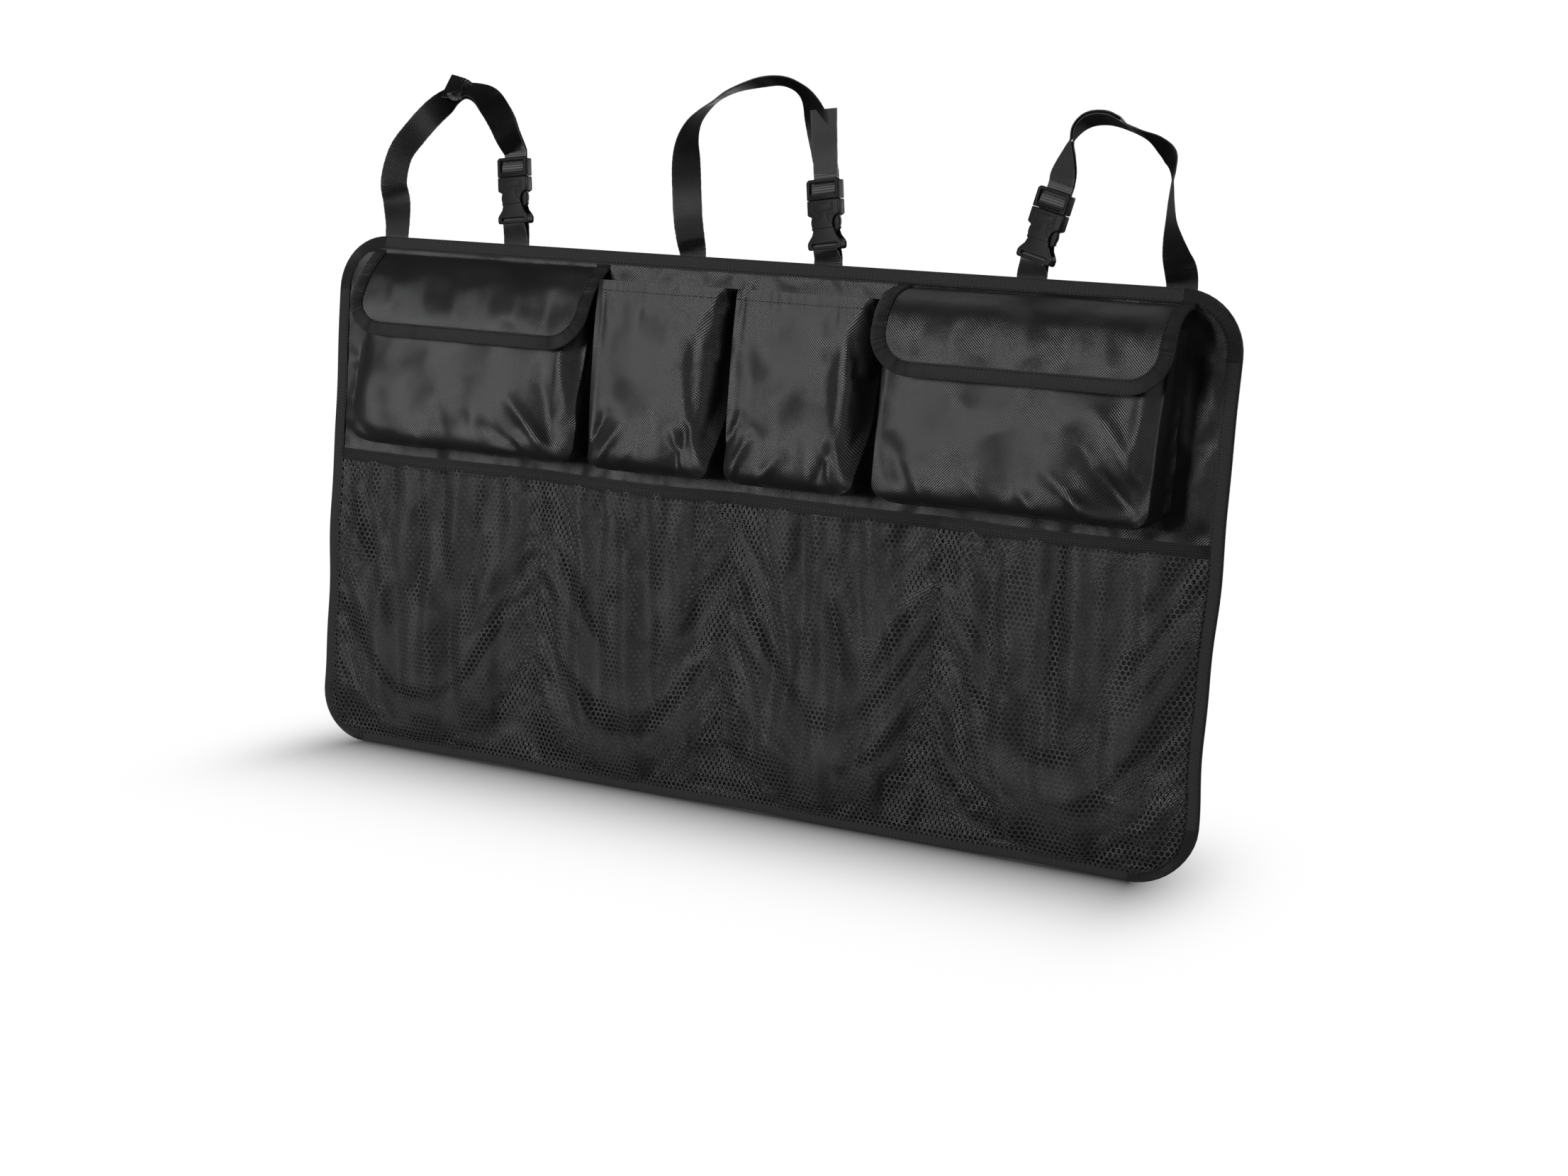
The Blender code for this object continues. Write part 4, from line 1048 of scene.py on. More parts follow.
def make_net_drape():
    marks = (-net_edge(), *NET_SEAMS, net_edge())
    per_pocket = NET_COLUMNS
    spans = [np.linspace(a, b, per_pocket, endpoint=False) for a, b in zip(marks, marks[1:])]
    xs = np.concatenate([*spans, [marks[-1]]])
    seams = [k * per_pocket for k in range(len(marks))]
    rows = NET_ROWS
    low, high = BOTTOM + BINDING_W - 5 * MM, ELASTIC_LOW + 4 * MM
    heights = np.linspace(high, low, rows)
    grid = np.zeros((rows, len(xs), 3))
    wander = np.random.default_rng(5)
    pockets = len(marks) - 1
    phases = wander.uniform(0, 2 * math.pi, (pockets, 3))
    for i, z in enumerate(heights):
        down = i / (rows - 1)
        half = outline_half(z, BINDING_W - 3 * MM)
        for j, x in enumerate(xs):
            k = min(j // per_pocket, pockets - 1)
            share = (j - k * per_pocket) / per_pocket
            envelope = min(1.0, 0.45 + down / 0.2) * min(1.0, (1 - down) / 0.06)
            envelope *= math.sin(math.pi * share) ** 0.5
            swell = bow(x, ELASTIC_BOW + (NET_BULGE - ELASTIC_BOW) * math.sin(math.pi * down))
            swell *= min(1.0, (1 - down) / 0.22) ** 0.8
            sway = 0.30 * math.sin(3.4 * down + phases[k, 0]) + 0.12 * math.sin(9 * down + phases[k, 2])
            fold = math.sin(2 * math.pi * (4.2 * share + sway) + phases[k, 1])
            fold = fold * abs(fold) ** 0.4
            fold += 0.55 * math.sin(2 * math.pi * (7.7 * share - 0.9 * down) + phases[k, 2])
            out = max(swell + NET_FOLD * envelope * fold, net_room(x, z) + 0.4 * MM)
            grid[i, j] = (np.clip(x, -half, half), FRONT - 1.0 * MM - max(0.0, out), z)
    shape = grid.shape[:2]
    index = np.arange(shape[0] * shape[1]).reshape(shape)
    pins = sorted(set(index[0]) | set(index[-1]) | set(index[:, seams].ravel()))
    return Drape("net", grid.reshape(-1, 3), grid_faces(*shape), pins, 0.02, 0.15, 0, 6 * MM, 0.15), shape


def make_net(drape, shape):
    """Hexagonal cells on the draped surface: one closed mesh for each of the four pockets."""
    grid = drape.result.reshape(*shape, 3).copy()
    room = np.vectorize(net_room)(grid[..., 0], grid[..., 2])
    grid[..., 1] = np.minimum(grid[..., 1], FRONT - 1.2 * MM - room)
    fine = refine(grid, 3)
    along = flat_lengths(fine, 1)
    down = flat_lengths(fine, 0)
    width, length = along[-1], down[-1]
    row_step = CELL * math.sqrt(3) / 2
    count_across = int(width / CELL)
    count_down = int(length / row_step)
    inner = (CELL - STRAND) / math.sqrt(3)
    angles = np.radians(30 + 60 * np.arange(6))
    corners = np.stack([np.cos(angles), np.sin(angles)], -1) * inner
    number = {place: n for n, place in enumerate(np.ndindex(count_down, count_across))}
    centres = [((c + 0.5 + 0.5 * (r % 2)) * CELL, (r + 0.5) * row_step) for r, c in number]
    flat = (np.array(centres)[:, None] + corners).reshape(-1, 2)
    faces = []
    for (r, c), n in number.items():
        odd = r % 2
        a = n * 6
        right = number.get((r, c + 1), -1) * 6
        low_left = number.get((r + 1, c - 1 + odd), -1) * 6
        low_right = number.get((r + 1, c + odd), -1) * 6
        if right >= 0:
            faces.append((a, right + 2, right + 3, a + 5))
        if low_right >= 0:
            faces.append((a + 1, low_right + 3, low_right + 4, a))
        if low_left >= 0:
            faces.append((a + 2, low_left + 4, low_left + 5, a + 1))
        if right >= 0 and low_right >= 0:
            faces.append((a, low_right + 4, right + 2))
        if low_left >= 0 and low_right >= 0:
            faces.append((a + 1, low_left + 5, low_right + 3))
    places = surface_at(fine, along, down, flat)
    seams = [along[k * NET_COLUMNS * 3] for k in range(1, 4)]
    pocket_of = np.array([np.searchsorted(seams, flat[face[0], 0]) for face in faces])
    share = 1 - (inner * math.sqrt(3) / CELL) ** 2
    names = ("outer_left", "inner_left", "inner_right", "outer_right")
    for k, name in enumerate(names):
        mine = [faces[i] for i in np.flatnonzero(pocket_of == k)]
        used = np.unique(np.concatenate(mine))
        renumber = np.zeros(len(flat), int)
        renumber[used] = np.arange(len(used))
        mine = [renumber[list(face)] for face in mine]
        piece = mesh_object(f"net_{name}", warp(places[used]), mine, net)
        solid = piece.modifiers.new("Thickness", "SOLIDIFY")
        solid.thickness = NET_T
        solid.offset = 0
        apply_modifiers(piece)
        outwards(piece)
        stands_for(piece, "net_panel")
        size = flat[used].max(0) - flat[used].min(0)
        share * size[0] * size[1]


def apply_modifiers(obj):
    graph = bpy.context.evaluated_depsgraph_get()
    mesh = bpy.data.meshes.new_from_object(obj.evaluated_get(graph))
    obj.modifiers.clear()
    obj.data = mesh


def flat_lengths(fine, axis):
    """Mean distances along a grid, used as its flat coordinates."""
    steps = np.linalg.norm(np.diff(fine, axis=axis), axis=-1)
    return np.concatenate([[0], np.cumsum(steps.mean(axis=1 - axis))])


def surface_at(fine, along, down, flat):
    """Points of the surface at flat places (along, down)."""
    j = np.clip(np.searchsorted(along, flat[:, 0]) - 1, 0, len(along) - 2)
    i = np.clip(np.searchsorted(down, flat[:, 1]) - 1, 0, len(down) - 2)
    u = ((flat[:, 0] - along[j]) / (along[j + 1] - along[j]))[:, None]
    v = ((flat[:, 1] - down[i]) / (down[i + 1] - down[i]))[:, None]
    top = fine[i, j] * (1 - u) + fine[i, j + 1] * u
    low = fine[i + 1, j] * (1 - u) + fine[i + 1, j + 1] * u
    return top * (1 - v) + low * v


def make_elastic():
    """The ribbed band along the net's top, bowed off the panel between the seams."""
    xs = np.linspace(-net_edge(), net_edge(), 260)
    middle_z, half = (ELASTIC_LOW + ELASTIC_TOP) / 2, (ELASTIC_TOP - ELASTIC_LOW) / 2
    front = []
    for share in np.linspace(-1, 1, ELASTIC_RIDGES * 4 + 1):
        ridge = ELASTIC_RIDGE_H * abs(math.sin(math.pi * ELASTIC_RIDGES * (share + 1) / 2)) ** 0.5
        front.append((share * half, -ELASTIC_T / 2 - ridge + ELASTIC_RIDGE_H))
    section = [(half, ELASTIC_T / 2)] + front[::-1] + [(-half, ELASTIC_T / 2)]
    rings = []
    for x in xs:
        thin = min(1.0, (net_edge() - abs(x)) / (8 * MM))
        y = FRONT - (0.5 + 1.9 * thin) * MM - bow(x, ELASTIC_BOW)
        z0 = middle_z + elastic_sag(x)
        rings.append([(x, y + r * (0.35 + 0.65 * thin), z0 + z) for z, r in section])
    band = swept("elastic_tape", warped(rings), elastic, xs, distances(np.array(section)))
    stands_for(band, "elastic_band")
    lines = []
    face = FRONT - 2.4 * MM - ELASTIC_T / 2
    for offset in (2.2 * MM, 4.6 * MM):
        line = [(x, face - bow(x, ELASTIC_BOW), ELASTIC_LOW + offset + elastic_sag(x)) for x in xs[6:-6]]
        lines.append(stitch_line(warp(line), -1.0))
    for seam in NET_SEAMS:
        line = [(seam, face if z > ELASTIC_LOW else FRONT - 1.5 * MM, z)
                for z in np.linspace(BOTTOM + BINDING_W, ELASTIC_TOP - MM, 60)]
        lines.append(stitch_line(warp(line), -1.0))
    make_stitches("elastic_stitches", lines)


def elastic_sag(x):
    return 0.6 * MM * math.sin(x * 19)


# Flaps

FLAP_CORNER_R = 34 * MM
FLAP_TAPE_W = 11 * MM
FLAP_TAPE_T = 1.1 * MM
FLAP_TAPE_START = 4  # rows of the cloth
FLAP_CLEARANCE = 3.6 * MM
EASE_STEPS = 70
LEVEL_STEPS = 40
GRIP_W = 110 * MM
GRIP_T = 1.2 * MM

# The way each flap takes, as millimetres (off the panel, below its seam)
FLAP_SLOPE = {
    "left": [(2, 1), (8, 5), (16, 12), (25, 22), (33, 34), (40, 50), (45, 74)],
    "right": [(11, 1), (24, 4), (38, 10), (48, 20), (54, 34), (57, 50), (59, 69)],
}
FLAP_FOLDS = {
    "left": [
        ((-86, 20), (-74, 96), 6, 1.8), ((-52, 30), (-40, 100), 7, -1.8), ((-18, 26), (-6, 98), 6, 2),
        ((16, 30), (30, 100), 7, -2), ((44, 24), (58, 104), 6, 2.2), ((74, 30), (90, 96), 6, -2),
        ((96, 10), (70, 60), 6, 2), ((-96, 16), (-110, 70), 6, -1.6),
    ],
    "right": [
        ((-84, 34), (-80, 106), 7, -2), ((-58, 30), (-50, 104), 6, 2), ((-26, 40), (-22, 110), 6, -2),
        ((4, 36), (12, 108), 7, 2), ((36, 34), (42, 112), 6, -2), ((62, 30), (76, 104), 6, 2.2),
        ((88, 20), (104, 84), 6, -2), ((-4, 6), (60, 26), 6, 1.6),
    ],
}


class Flap:
    """The cloth that comes out from under the top binding, over the pocket and down its front."""

    def __init__(self, side):
        self.side = side
        low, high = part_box(f"{side}_flap_binding")
        self.middle, self.half = (low.x + high.x) / 2, (high.x - low.x) / 2
        seam_z = TOP - BINDING_W
        places = [(FRONT - 0.4 * MM, seam_z + 4 * MM), (FRONT - 0.5 * MM, seam_z + 0.8 * MM)]
        places += [(FRONT - out * MM, seam_z - drop * MM) for out, drop in FLAP_SLOPE[side]]
        path = np.array([(0, y, z) for y, z in places])
        path, at = resample(refine(path[:, None, :].repeat(2, 1), 8)[:, 0], 1 * MM)
        self.length = at[-1]
        self.flat = apron_rows(self.half, self.length, FLAP_CORNER_R, 60, 24, 8)
        grid = np.zeros((*self.flat.shape[:2], 3))
        for k in range(3):
            grid[..., k] = np.interp(self.flat[..., 1], at, path[:, k])
        grid[..., 0] = self.middle + self.flat[..., 0]
        self.shape = grid.shape[:2]
        points = grid.reshape(-1, 3)
        s = self.flat[..., 1].ravel()
        pinned = s < 7 * MM
        bumps = unevenness(points, 55 * MM, 0.6 * MM, 21 if side == "left" else 33)
        bumps += creases(self.flat, FLAP_FOLDS[side]).ravel()
        bumps *= np.clip((self.length - s) / (26 * MM), 0.1, 1)
        points[:, 1] -= np.where(pinned, 0, bumps)
        pins = np.flatnonzero(pinned)
        self.drape = Drape(f"{side}_flap", points, grid_faces(*self.shape), pins, 0.008, 0.5, 0, 3 * MM, 0.08)

    def finish(self, pocket_front):
        grid = self.drape.result.reshape(*self.shape, 3)
        grid = clear_of(grid, pocket_front, FLAP_CLEARANCE)
        taped = np.clip((self.flat[..., 1] - self.length) / (8 * MM) + 2.4, 0, 1)
        level = grid[..., 1].copy()
        for _ in range(LEVEL_STEPS):
            level[:, 1:-1] = (level[:, :-2] + 2 * level[:, 1:-1] + level[:, 2:]) / 4
        grid[..., 1] += (level - grid[..., 1]) * taped
        fine, flat = refine(grid, 2), refine(self.flat, 2)
        inside = np.s_[:-2, 2:-2]
        cloth = cloth_piece(f"{self.side}_flap_cloth", fine[inside], flat[inside], CLOTH_T, fabric)
        stands_for(cloth, f"{self.side}_flap")
        self.bind(fine)
        return fine

    def bind(self, fine):
        """Tape folded over the flap's free edge, with its stitches."""
        both = np.concatenate([fine, grid_normals(fine)], axis=2)
        skip = FLAP_TAPE_START
        both = np.concatenate([both[skip:, 0], both[-1, 1:-1], both[:skip - 1:-1, -1]])
        both, at = resample(both, 3 * MM)
        rim, normals = both[:, :3], unit(both[:, 3:])
        for _ in range(2):
            rim[1:-1] = 0.25 * rim[:-2] + 0.5 * rim[1:-1] + 0.25 * rim[2:]
            normals[1:-1] = unit(normals[:-2] + 2 * normals[1:-1] + normals[2:])
        inwards = unit(np.cross(unit(np.gradient(rim, axis=0)), normals))
        centre = fine[fine.shape[0] // 2, fine.shape[1] // 2]
        if np.dot(inwards[len(rim) // 2], centre - rim[len(rim) // 2]) < 0:
            inwards = -inwards
        outer, inner = CLOTH_T / 2 + FLAP_TAPE_T, CLOTH_T / 2 + 0.05 * MM
        section = [(FLAP_TAPE_W, inner), (FLAP_TAPE_W, outer), (FLAP_TAPE_W * 0.5, outer * 1.12)]
        section += [(-outer * 0.9 * math.cos(a), outer * math.sin(a))
                    for a in np.radians(np.linspace(70, -70, 5))]
        section += [(FLAP_TAPE_W * 0.5, -outer * 1.12), (FLAP_TAPE_W, -outer), (FLAP_TAPE_W, -inner)]
        section = np.array(section + [(1 * MM, -inner), (1 * MM, inner)])
        pucker = 1 + 0.12 * np.sin(at / (5.5 * MM))[:, None, None]
        rings = rim[:, None] + inwards[:, None] * section[:, :1]
        rings = rings + normals[:, None] * (section[:, 1:] * pucker)
        binding = swept(f"{self.side}_flap_tape", rings, tape, at, distances(section))
        stands_for(binding, f"{self.side}_flap_binding")
        line = rim + inwards * (FLAP_TAPE_W - 1.7 * MM)
        lines = [(line + normals * outer, normals), (line - normals * outer, -normals)]
        make_stitches(f"{self.side}_flap_stitches", lines)


def clear_of(grid, surface, room, slack=1 * MM):
    """Eases a grid out along -Y, in one soft sweep, until it is clear of a surface behind it."""
    faces = grid_faces(*surface.shape[:2]).tolist()
    tree = BVHTree.FromPolygons([Vector(p) for p in surface.reshape(-1, 3)], faces)
    need = np.zeros(grid.shape[:2])
    for place in np.ndindex(need.shape):
        x, y, z = grid[place]
        hit = tree.ray_cast(Vector((x, -1.0, z)), Vector((0, 1, 0)))[0]
        if hit is not None:
            need[place] = max(0.0, y - hit.y + room)
    push = need
    for turn in range(EASE_STEPS):
        soft = push.copy()
        soft[1:-1] = (push[:-2] + 2 * push[1:-1] + push[2:]) / 4
        soft[:, 1:-1] = (soft[:, :-2] + 2 * soft[:, 1:-1] + soft[:, 2:]) / 4
        soft[:2] = 0
        least = need if turn < EASE_STEPS - 8 else np.maximum(need - slack, 0)
        push = np.maximum(soft, least)
    out = grid.copy()
    out[..., 1] -= push
    return out


def make_grips(side, front, flap):
    """The loop half on the pocket's front and the hook half under the flap."""
    middle = front[..., 0].mean()
    for name, grid, sign in (("loop", front, 1), ("hook", flap, -1)):
        low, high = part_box(f"{side}_{name}_tape")
        z = grid[:, grid.shape[1] // 2, 2]
        outside = np.arange(len(z)) > len(z) * (0 if name == "loop" else 0.3)
        rows = np.flatnonzero((z > low.z) & (z < high.z) & outside)
        columns = np.flatnonzero(np.abs(grid[rows[0], :, 0] - middle) < GRIP_W / 2)
        patch = grid[rows[0]:rows[-1] + 1, columns[0]:columns[-1] + 1]
        normal = grid_normals(grid)[rows[0]:rows[-1] + 1, columns[0]:columns[-1] + 1]
        moved = patch + normal * sign * (CLOTH_T / 2 + GRIP_T / 2 + 0.05 * MM)
        piece = cloth_piece(f"{side}_{name}_pad", moved, strip_uv(moved), GRIP_T, hook_and_loop)
        stands_for(piece, f"{side}_{name}_tape")


# Straps

# The loops' routes are those of the frame. A station is (share of the way to the buckle, rise
# above the panel in millimetres, twist in degrees). A tail follows the loop back over that many
# stations, and then goes on through stations of its own.
LEFT, RIGHT = EDGE_LOW.x, EDGE_HIGH.x
LOOPS = {
    "left": {
        "foot_x": LEFT + 57 * MM,
        "buckle_x": LEFT + 179 * MM,
        "buckle_foot_x": LEFT + 184.5 * MM,
        "buckle_rise": 59 * MM,
        "tilt": -5.5,
        "turn": -10.0,
        "route": [
            (0.000, 14, 5), (-0.016, 32, 20), (-0.050, 50, 14),
            (0.000, 75, 6), (0.130, 95, 4), (0.270, 112, 0),
            (0.385, 122, -12), (0.490, 128.5, -38), (0.600, 131, -58),
            (0.705, 127.5, -50), (0.790, 118, -28), (0.868, 106, -12),
            (0.925, 94, 2),
        ],
        "tail_stations": 6,
        "tail_end": [(0.480, 134, -40), (0.375, 136, -30)],
    },
    "middle": {
        "foot_x": -58.5 * MM,
        "buckle_x": 61 * MM,
        "buckle_foot_x": 67.6 * MM,
        "buckle_rise": 53 * MM,
        "tilt": -7.0,
        "turn": -15.0,
        "route": [
            (-0.028, 15, 12), (-0.058, 32, 20), (-0.085, 59, 25),
            (-0.100, 80, 45), (-0.098, 97, 70), (-0.060, 111, 88),
            (0.009, 121, 98), (0.111, 130.5, 104), (0.240, 139, 95),
            (0.438, 146, 82), (0.562, 148, 78), (0.667, 146, 70),
            (0.745, 141, 60), (0.812, 133, 42), (0.868, 121, 22),
            (0.915, 106, 14), (0.950, 92, 15),
        ],
        "tail_stations": 0,
        "tail_end": [(0.975, 92, 12), (0.958, 108, 8), (0.942, 126, 4)],
    },
    "right": {
        "foot_x": RIGHT - 53.5 * MM,
        "buckle_x": RIGHT - 164 * MM,
        "buckle_foot_x": RIGHT - 175 * MM,
        "buckle_rise": 53 * MM,
        "tilt": 14.0,
        "turn": -20.0,
        "route": [
            (0.020, 13, 20), (0.060, 24, 45), (0.095, 37, 68),
            (0.120, 50, 86), (0.132, 64, 95), (0.136, 78, 103),
            (0.140, 89, 114), (0.170, 99, 128), (0.250, 107, 120),
            (0.362, 114, 102), (0.498, 120, 99), (0.633, 125, 105),
            (0.760, 124, 103), (0.846, 117, 90), (0.888, 106, 68),
            (0.908, 94, 44), (0.925, 83, 24),
        ],
        "tail_stations": 7,
        "tail_end": [],
    },
}
ROUTE_STEPS = 12
GAP = 0.3 * MM
LAYER = WEB_T + GAP
TAIL_LIFT = 2.6 * MM
FOOT_LENGTH = 34 * MM
FOOT_Y = GAP + WEB_T / 2
OVER_BINDING_Y = BINDING_T + 2 * GAP + WEB_T / 2
BUCKLE_Y = OVER_BINDING_Y + LAYER / 2

# Buckle sizes that the webbing passes, from the line where its halves meet
LADDER_LOW = 6.3 * MM
LADDER_H = 3 * MM
LADDER_T = 2.5 * MM
LADDER_SLOT = 4.5 * MM
END_BAR_H = 3 * MM
END_BAR_BACK = 0.5 * MM
SOCKET_LENGTH = 41 * MM
FOOT_BAR_H = 2.8 * MM
FOOT_BAR_T = 2.8 * MM


def smooth_route(stations, steps):
    """Points through stations of (middle, vector across), on a Catmull-Rom curve."""
    rows = np.array([[*point, *across] for point, across in stations])
    fine = catmull_matrix(len(rows), steps) @ rows
    return [(Vector(row[:3]), Vector(row[3:])) for row in fine]


def buckle_matrix(loop):
    place = Matrix.Translation((loop["buckle_x"], BUCKLE_Y, TOP + loop["buckle_rise"]))
    turn = Matrix.Rotation(math.radians(loop["turn"]), 4, "Z")
    return place @ Matrix.Rotation(math.radians(loop["tilt"]), 4, "Y") @ turn


def foot_stations(x, layer):
    """A strap's end flat on the panel's back, and up over the binding."""
    step = layer * LAYER
    inner = TOP - BINDING_W - GAP
    across = Vector((1, 0, 0))
    return [
        (Vector((x, FOOT_Y + step, TOP - FOOT_LENGTH)), across),
        (Vector((x, FOOT_Y + step, inner - 4 * MM)), across),
        (Vector((x, OVER_BINDING_Y + step, inner - WEB_T)), across),
        (Vector((x, OVER_BINDING_Y + step, TOP + 2 * MM)), across),
    ]


def route_station(loop, share, rise, twist, ahead):
    """A place on the loop and the direction across it, given the place that follows."""
    def place(share, rise):
        x = loop["foot_x"] + (loop["buckle_x"] - loop["foot_x"]) * share
        y = OVER_BINDING_Y + (BUCKLE_Y + LAYER - OVER_BINDING_Y) * min(1.0, max(0.0, share))
        return Vector((x, y, TOP + rise * MM))

    here, there = place(share, rise), place(*ahead)
    run = (there - here).normalized()
    flat = Vector((run.z, 0, -run.x)).normalized()
    turn = math.radians(twist)
    return here, flat * math.cos(turn) + Vector((0, 1, 0)) * math.sin(turn)


def loop_stations(loop):
    route = loop["route"]
    out = []
    for i, (share, rise, twist) in enumerate(route):
        a, b = route[max(0, i - 1)], route[min(len(route) - 1, i + 1)]
        out.append(route_station(loop, share, rise, twist, (share + b[0] - a[0], rise + b[1] - a[1])))
    return out


def ladder_stations(loop):
    """Down behind the end bar, under the ladder bar, over its front and up again as the tail."""
    matrix = buckle_matrix(loop)
    across = matrix.to_3x3() @ Vector((-1, 0, 0))
    high = PLUG_HEIGHT
    tail_y = END_BAR_BACK + GAP + WEB_T / 2
    load_y = tail_y + LAYER
    slot_top = high - END_BAR_H
    bar_top = LADDER_LOW + LADDER_H
    reach = LADDER_T / 2 + 1.5 * GAP + WEB_T / 2
    under = LADDER_LOW - 2.5 * GAP - WEB_T / 2
    places = [
        (load_y, high + 2 * END_BAR_H), (load_y, slot_top), (load_y, LADDER_LOW + 0.6 * LADDER_H),
        (reach, LADDER_LOW), (0.4 * reach, under), (-0.35 * reach, under), (-0.9 * reach, LADDER_LOW - GAP),
        (-reach, LADDER_LOW + LADDER_H / 2), (-0.8 * reach, bar_top + 0.2 * LADDER_SLOT),
        (-0.25 * reach, bar_top + 0.5 * LADDER_SLOT), (0.3 * reach, bar_top + 0.7 * LADDER_SLOT),
        (tail_y, slot_top), (tail_y, high + 1.3 * END_BAR_H),
    ]
    return [(matrix @ Vector((0, y, z)), across) for y, z in places]


def tail_stations(loop, load):
    """Back up in front of the strap that it hangs beside, and on to a free end."""
    out = []
    follow = load[::-1][:loop["tail_stations"] * ROUTE_STEPS]
    for i, (point, across) in enumerate(follow):
        before, after = follow[max(0, i - 1)][0], follow[min(len(follow) - 1, i + 1)][0]
        normal = (after - before).normalized().cross(across).normalized()
        share = min(1.0, (3 * i / ROUTE_STEPS + 2) / 6)
        out.append((point + normal * (LAYER + (TAIL_LIFT - LAYER) * share), across))
    follow = out[::ROUTE_STEPS // 3]
    ends = loop["tail_end"]
    for i, (share, rise, twist) in enumerate(ends):
        a, b = ends[max(0, i - 1)], ends[min(len(ends) - 1, i + 1)]
        point, across = route_station(loop, share, rise, twist, (share + a[0] - b[0], rise + a[1] - b[1]))
        front = 0 if loop["tail_stations"] else -TAIL_LIFT
        follow.append((point + Vector((0, front, 0)), across))
    return follow


def make_ribbon(name, stations, node):
    """Ribbed webbing with rounded edges along a route."""
    rows = np.array([[*point, *across] for point, across in stations])
    rows, at = resample(rows, RIB_PITCH / 4)
    points, across = rows[:, :3], unit(rows[:, 3:])
    run = unit(np.gradient(points, axis=0))
    across = unit(across - run * np.sum(across * run, axis=1, keepdims=True))
    normal = np.cross(run, across)
    turns = 2 * np.pi * (np.arange(16) + 0.5) / 16
    side = np.sign(np.cos(turns)) * np.abs(np.cos(turns)) ** 0.22
    face = np.sign(np.sin(turns)) * np.abs(np.sin(turns)) ** 0.5
    rib = RIB_HEIGHT * (0.5 + 0.5 * np.cos(2 * np.pi * at / RIB_PITCH))
    wobble = 0.25 * MM * np.sin(at / (9 * MM)) * np.sin(at / (23 * MM) + len(name))
    half = WEB_T / 2 - RIB_HEIGHT / 2
    thick = (half + rib[:, None] * (np.abs(side) < 0.97)) * face
    wide = (WEB_W / 2 + 0.5 * wobble[:, None]) * side
    rings = points[:, None] + across[:, None] * wide[..., None] + normal[:, None] * thick[..., None]
    around = distances(np.column_stack([side * WEB_W / 2, face * half]))
    piece = swept(name, rings, webbing, at, around)
    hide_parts(node)
    return piece


def make_straps(side, loop):
    start = foot_stations(loop["foot_x"], 0)
    ladder = ladder_stations(loop)
    load = smooth_route([*start, *loop_stations(loop), ladder[0]], ROUTE_STEPS)
    tail = tail_stations(loop, load[:-1])
    turn = smooth_route(ladder, 6)
    whole = load + turn[1:] + smooth_route([ladder[-1], *tail], 6)[1:]
    strap = make_ribbon(f"{side}_long_webbing", whole, f"{side}_long_strap")
    matrix = buckle_matrix(loop)
    away, near = (loop["foot_x"] + share * (loop["buckle_x"] - loop["foot_x"]) for share in (0.25, 0.8))
    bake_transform(strap)
    tilted = matrix.to_3x3() @ Vector((1, 0, 0))
    bar = -SOCKET_LENGTH + FOOT_BAR_H / 2
    radius = math.hypot(FOOT_BAR_T, FOOT_BAR_H) / 2 + GAP + WEB_T / 2
    places = [(-radius, bar - FOOT_BAR_H), *arc(0, bar, radius, 180, 0), (radius, bar - FOOT_BAR_H)]
    bend = [(matrix @ Vector((0, y, z)), tilted) for y, z in places]
    front, back = (foot_stations(loop["buckle_foot_x"], layer) for layer in (0, 1))
    route = smooth_route([*front, *bend, *back[::-1]], 8)
    short = make_ribbon(f"{side}_short_webbing", route, f"{side}_short_strap")
    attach(short, "organizer")
    make_foot_stitches(side, loop)


def make_foot_stitches(side, loop):
    """A boxed cross of stitches on each strap's foot, on the back of the panel."""
    lines = []
    low, high = TOP - FOOT_LENGTH + 3 * MM, TOP - BINDING_W - 6 * MM
    for x, layer in ((loop["foot_x"], 0), (loop["buckle_foot_x"], 1)):
        y = FOOT_Y + layer * LAYER + WEB_T / 2 + 0.1 * MM
        left, right = x - 9 * MM, x + 9 * MM
        corners = [(left, low), (right, low), (right, high), (left, high)]
        corners += [(left, low), (right, high), (left, high), (right, low)]
        route, _ = resample([(a, y, b) for a, b in corners], 1 * MM)
        lines.append(stitch_line(route, 1.0))
    make_stitches(f"{side}_foot_stitches", lines)


# Buckles

BUCKLE_W = 33 * MM
BUCKLE_WALL = 3 * MM
BUCKLE_DEPTH = 9 * MM
SHOULDER_H = 4.0 * MM
SOCKET_COLLAR = 13 * MM
SOCKET_WAIST = 10.5 * MM
SOCKET_SKIN = 1.9 * MM
PRONG_LENGTH = 27 * MM
PRONG_T = 4.2 * MM
PRONG_W = 6.5 * MM
PRONG_BULGE = 3.5 * MM
FOOT_SLOT = 2.2 * MM
BLOCK_TOP = 31 * MM
PLUG_HEIGHT = LADDER_LOW + LADDER_H + LADDER_SLOT + END_BAR_H
EDGE_ROUND = 0.9 * MM


def arc(x, z, radius, start, end, steps=6):
    turns = np.radians(np.linspace(start, end, steps + 1))
    return [(x + radius * math.cos(t), z + radius * math.sin(t)) for t in turns]


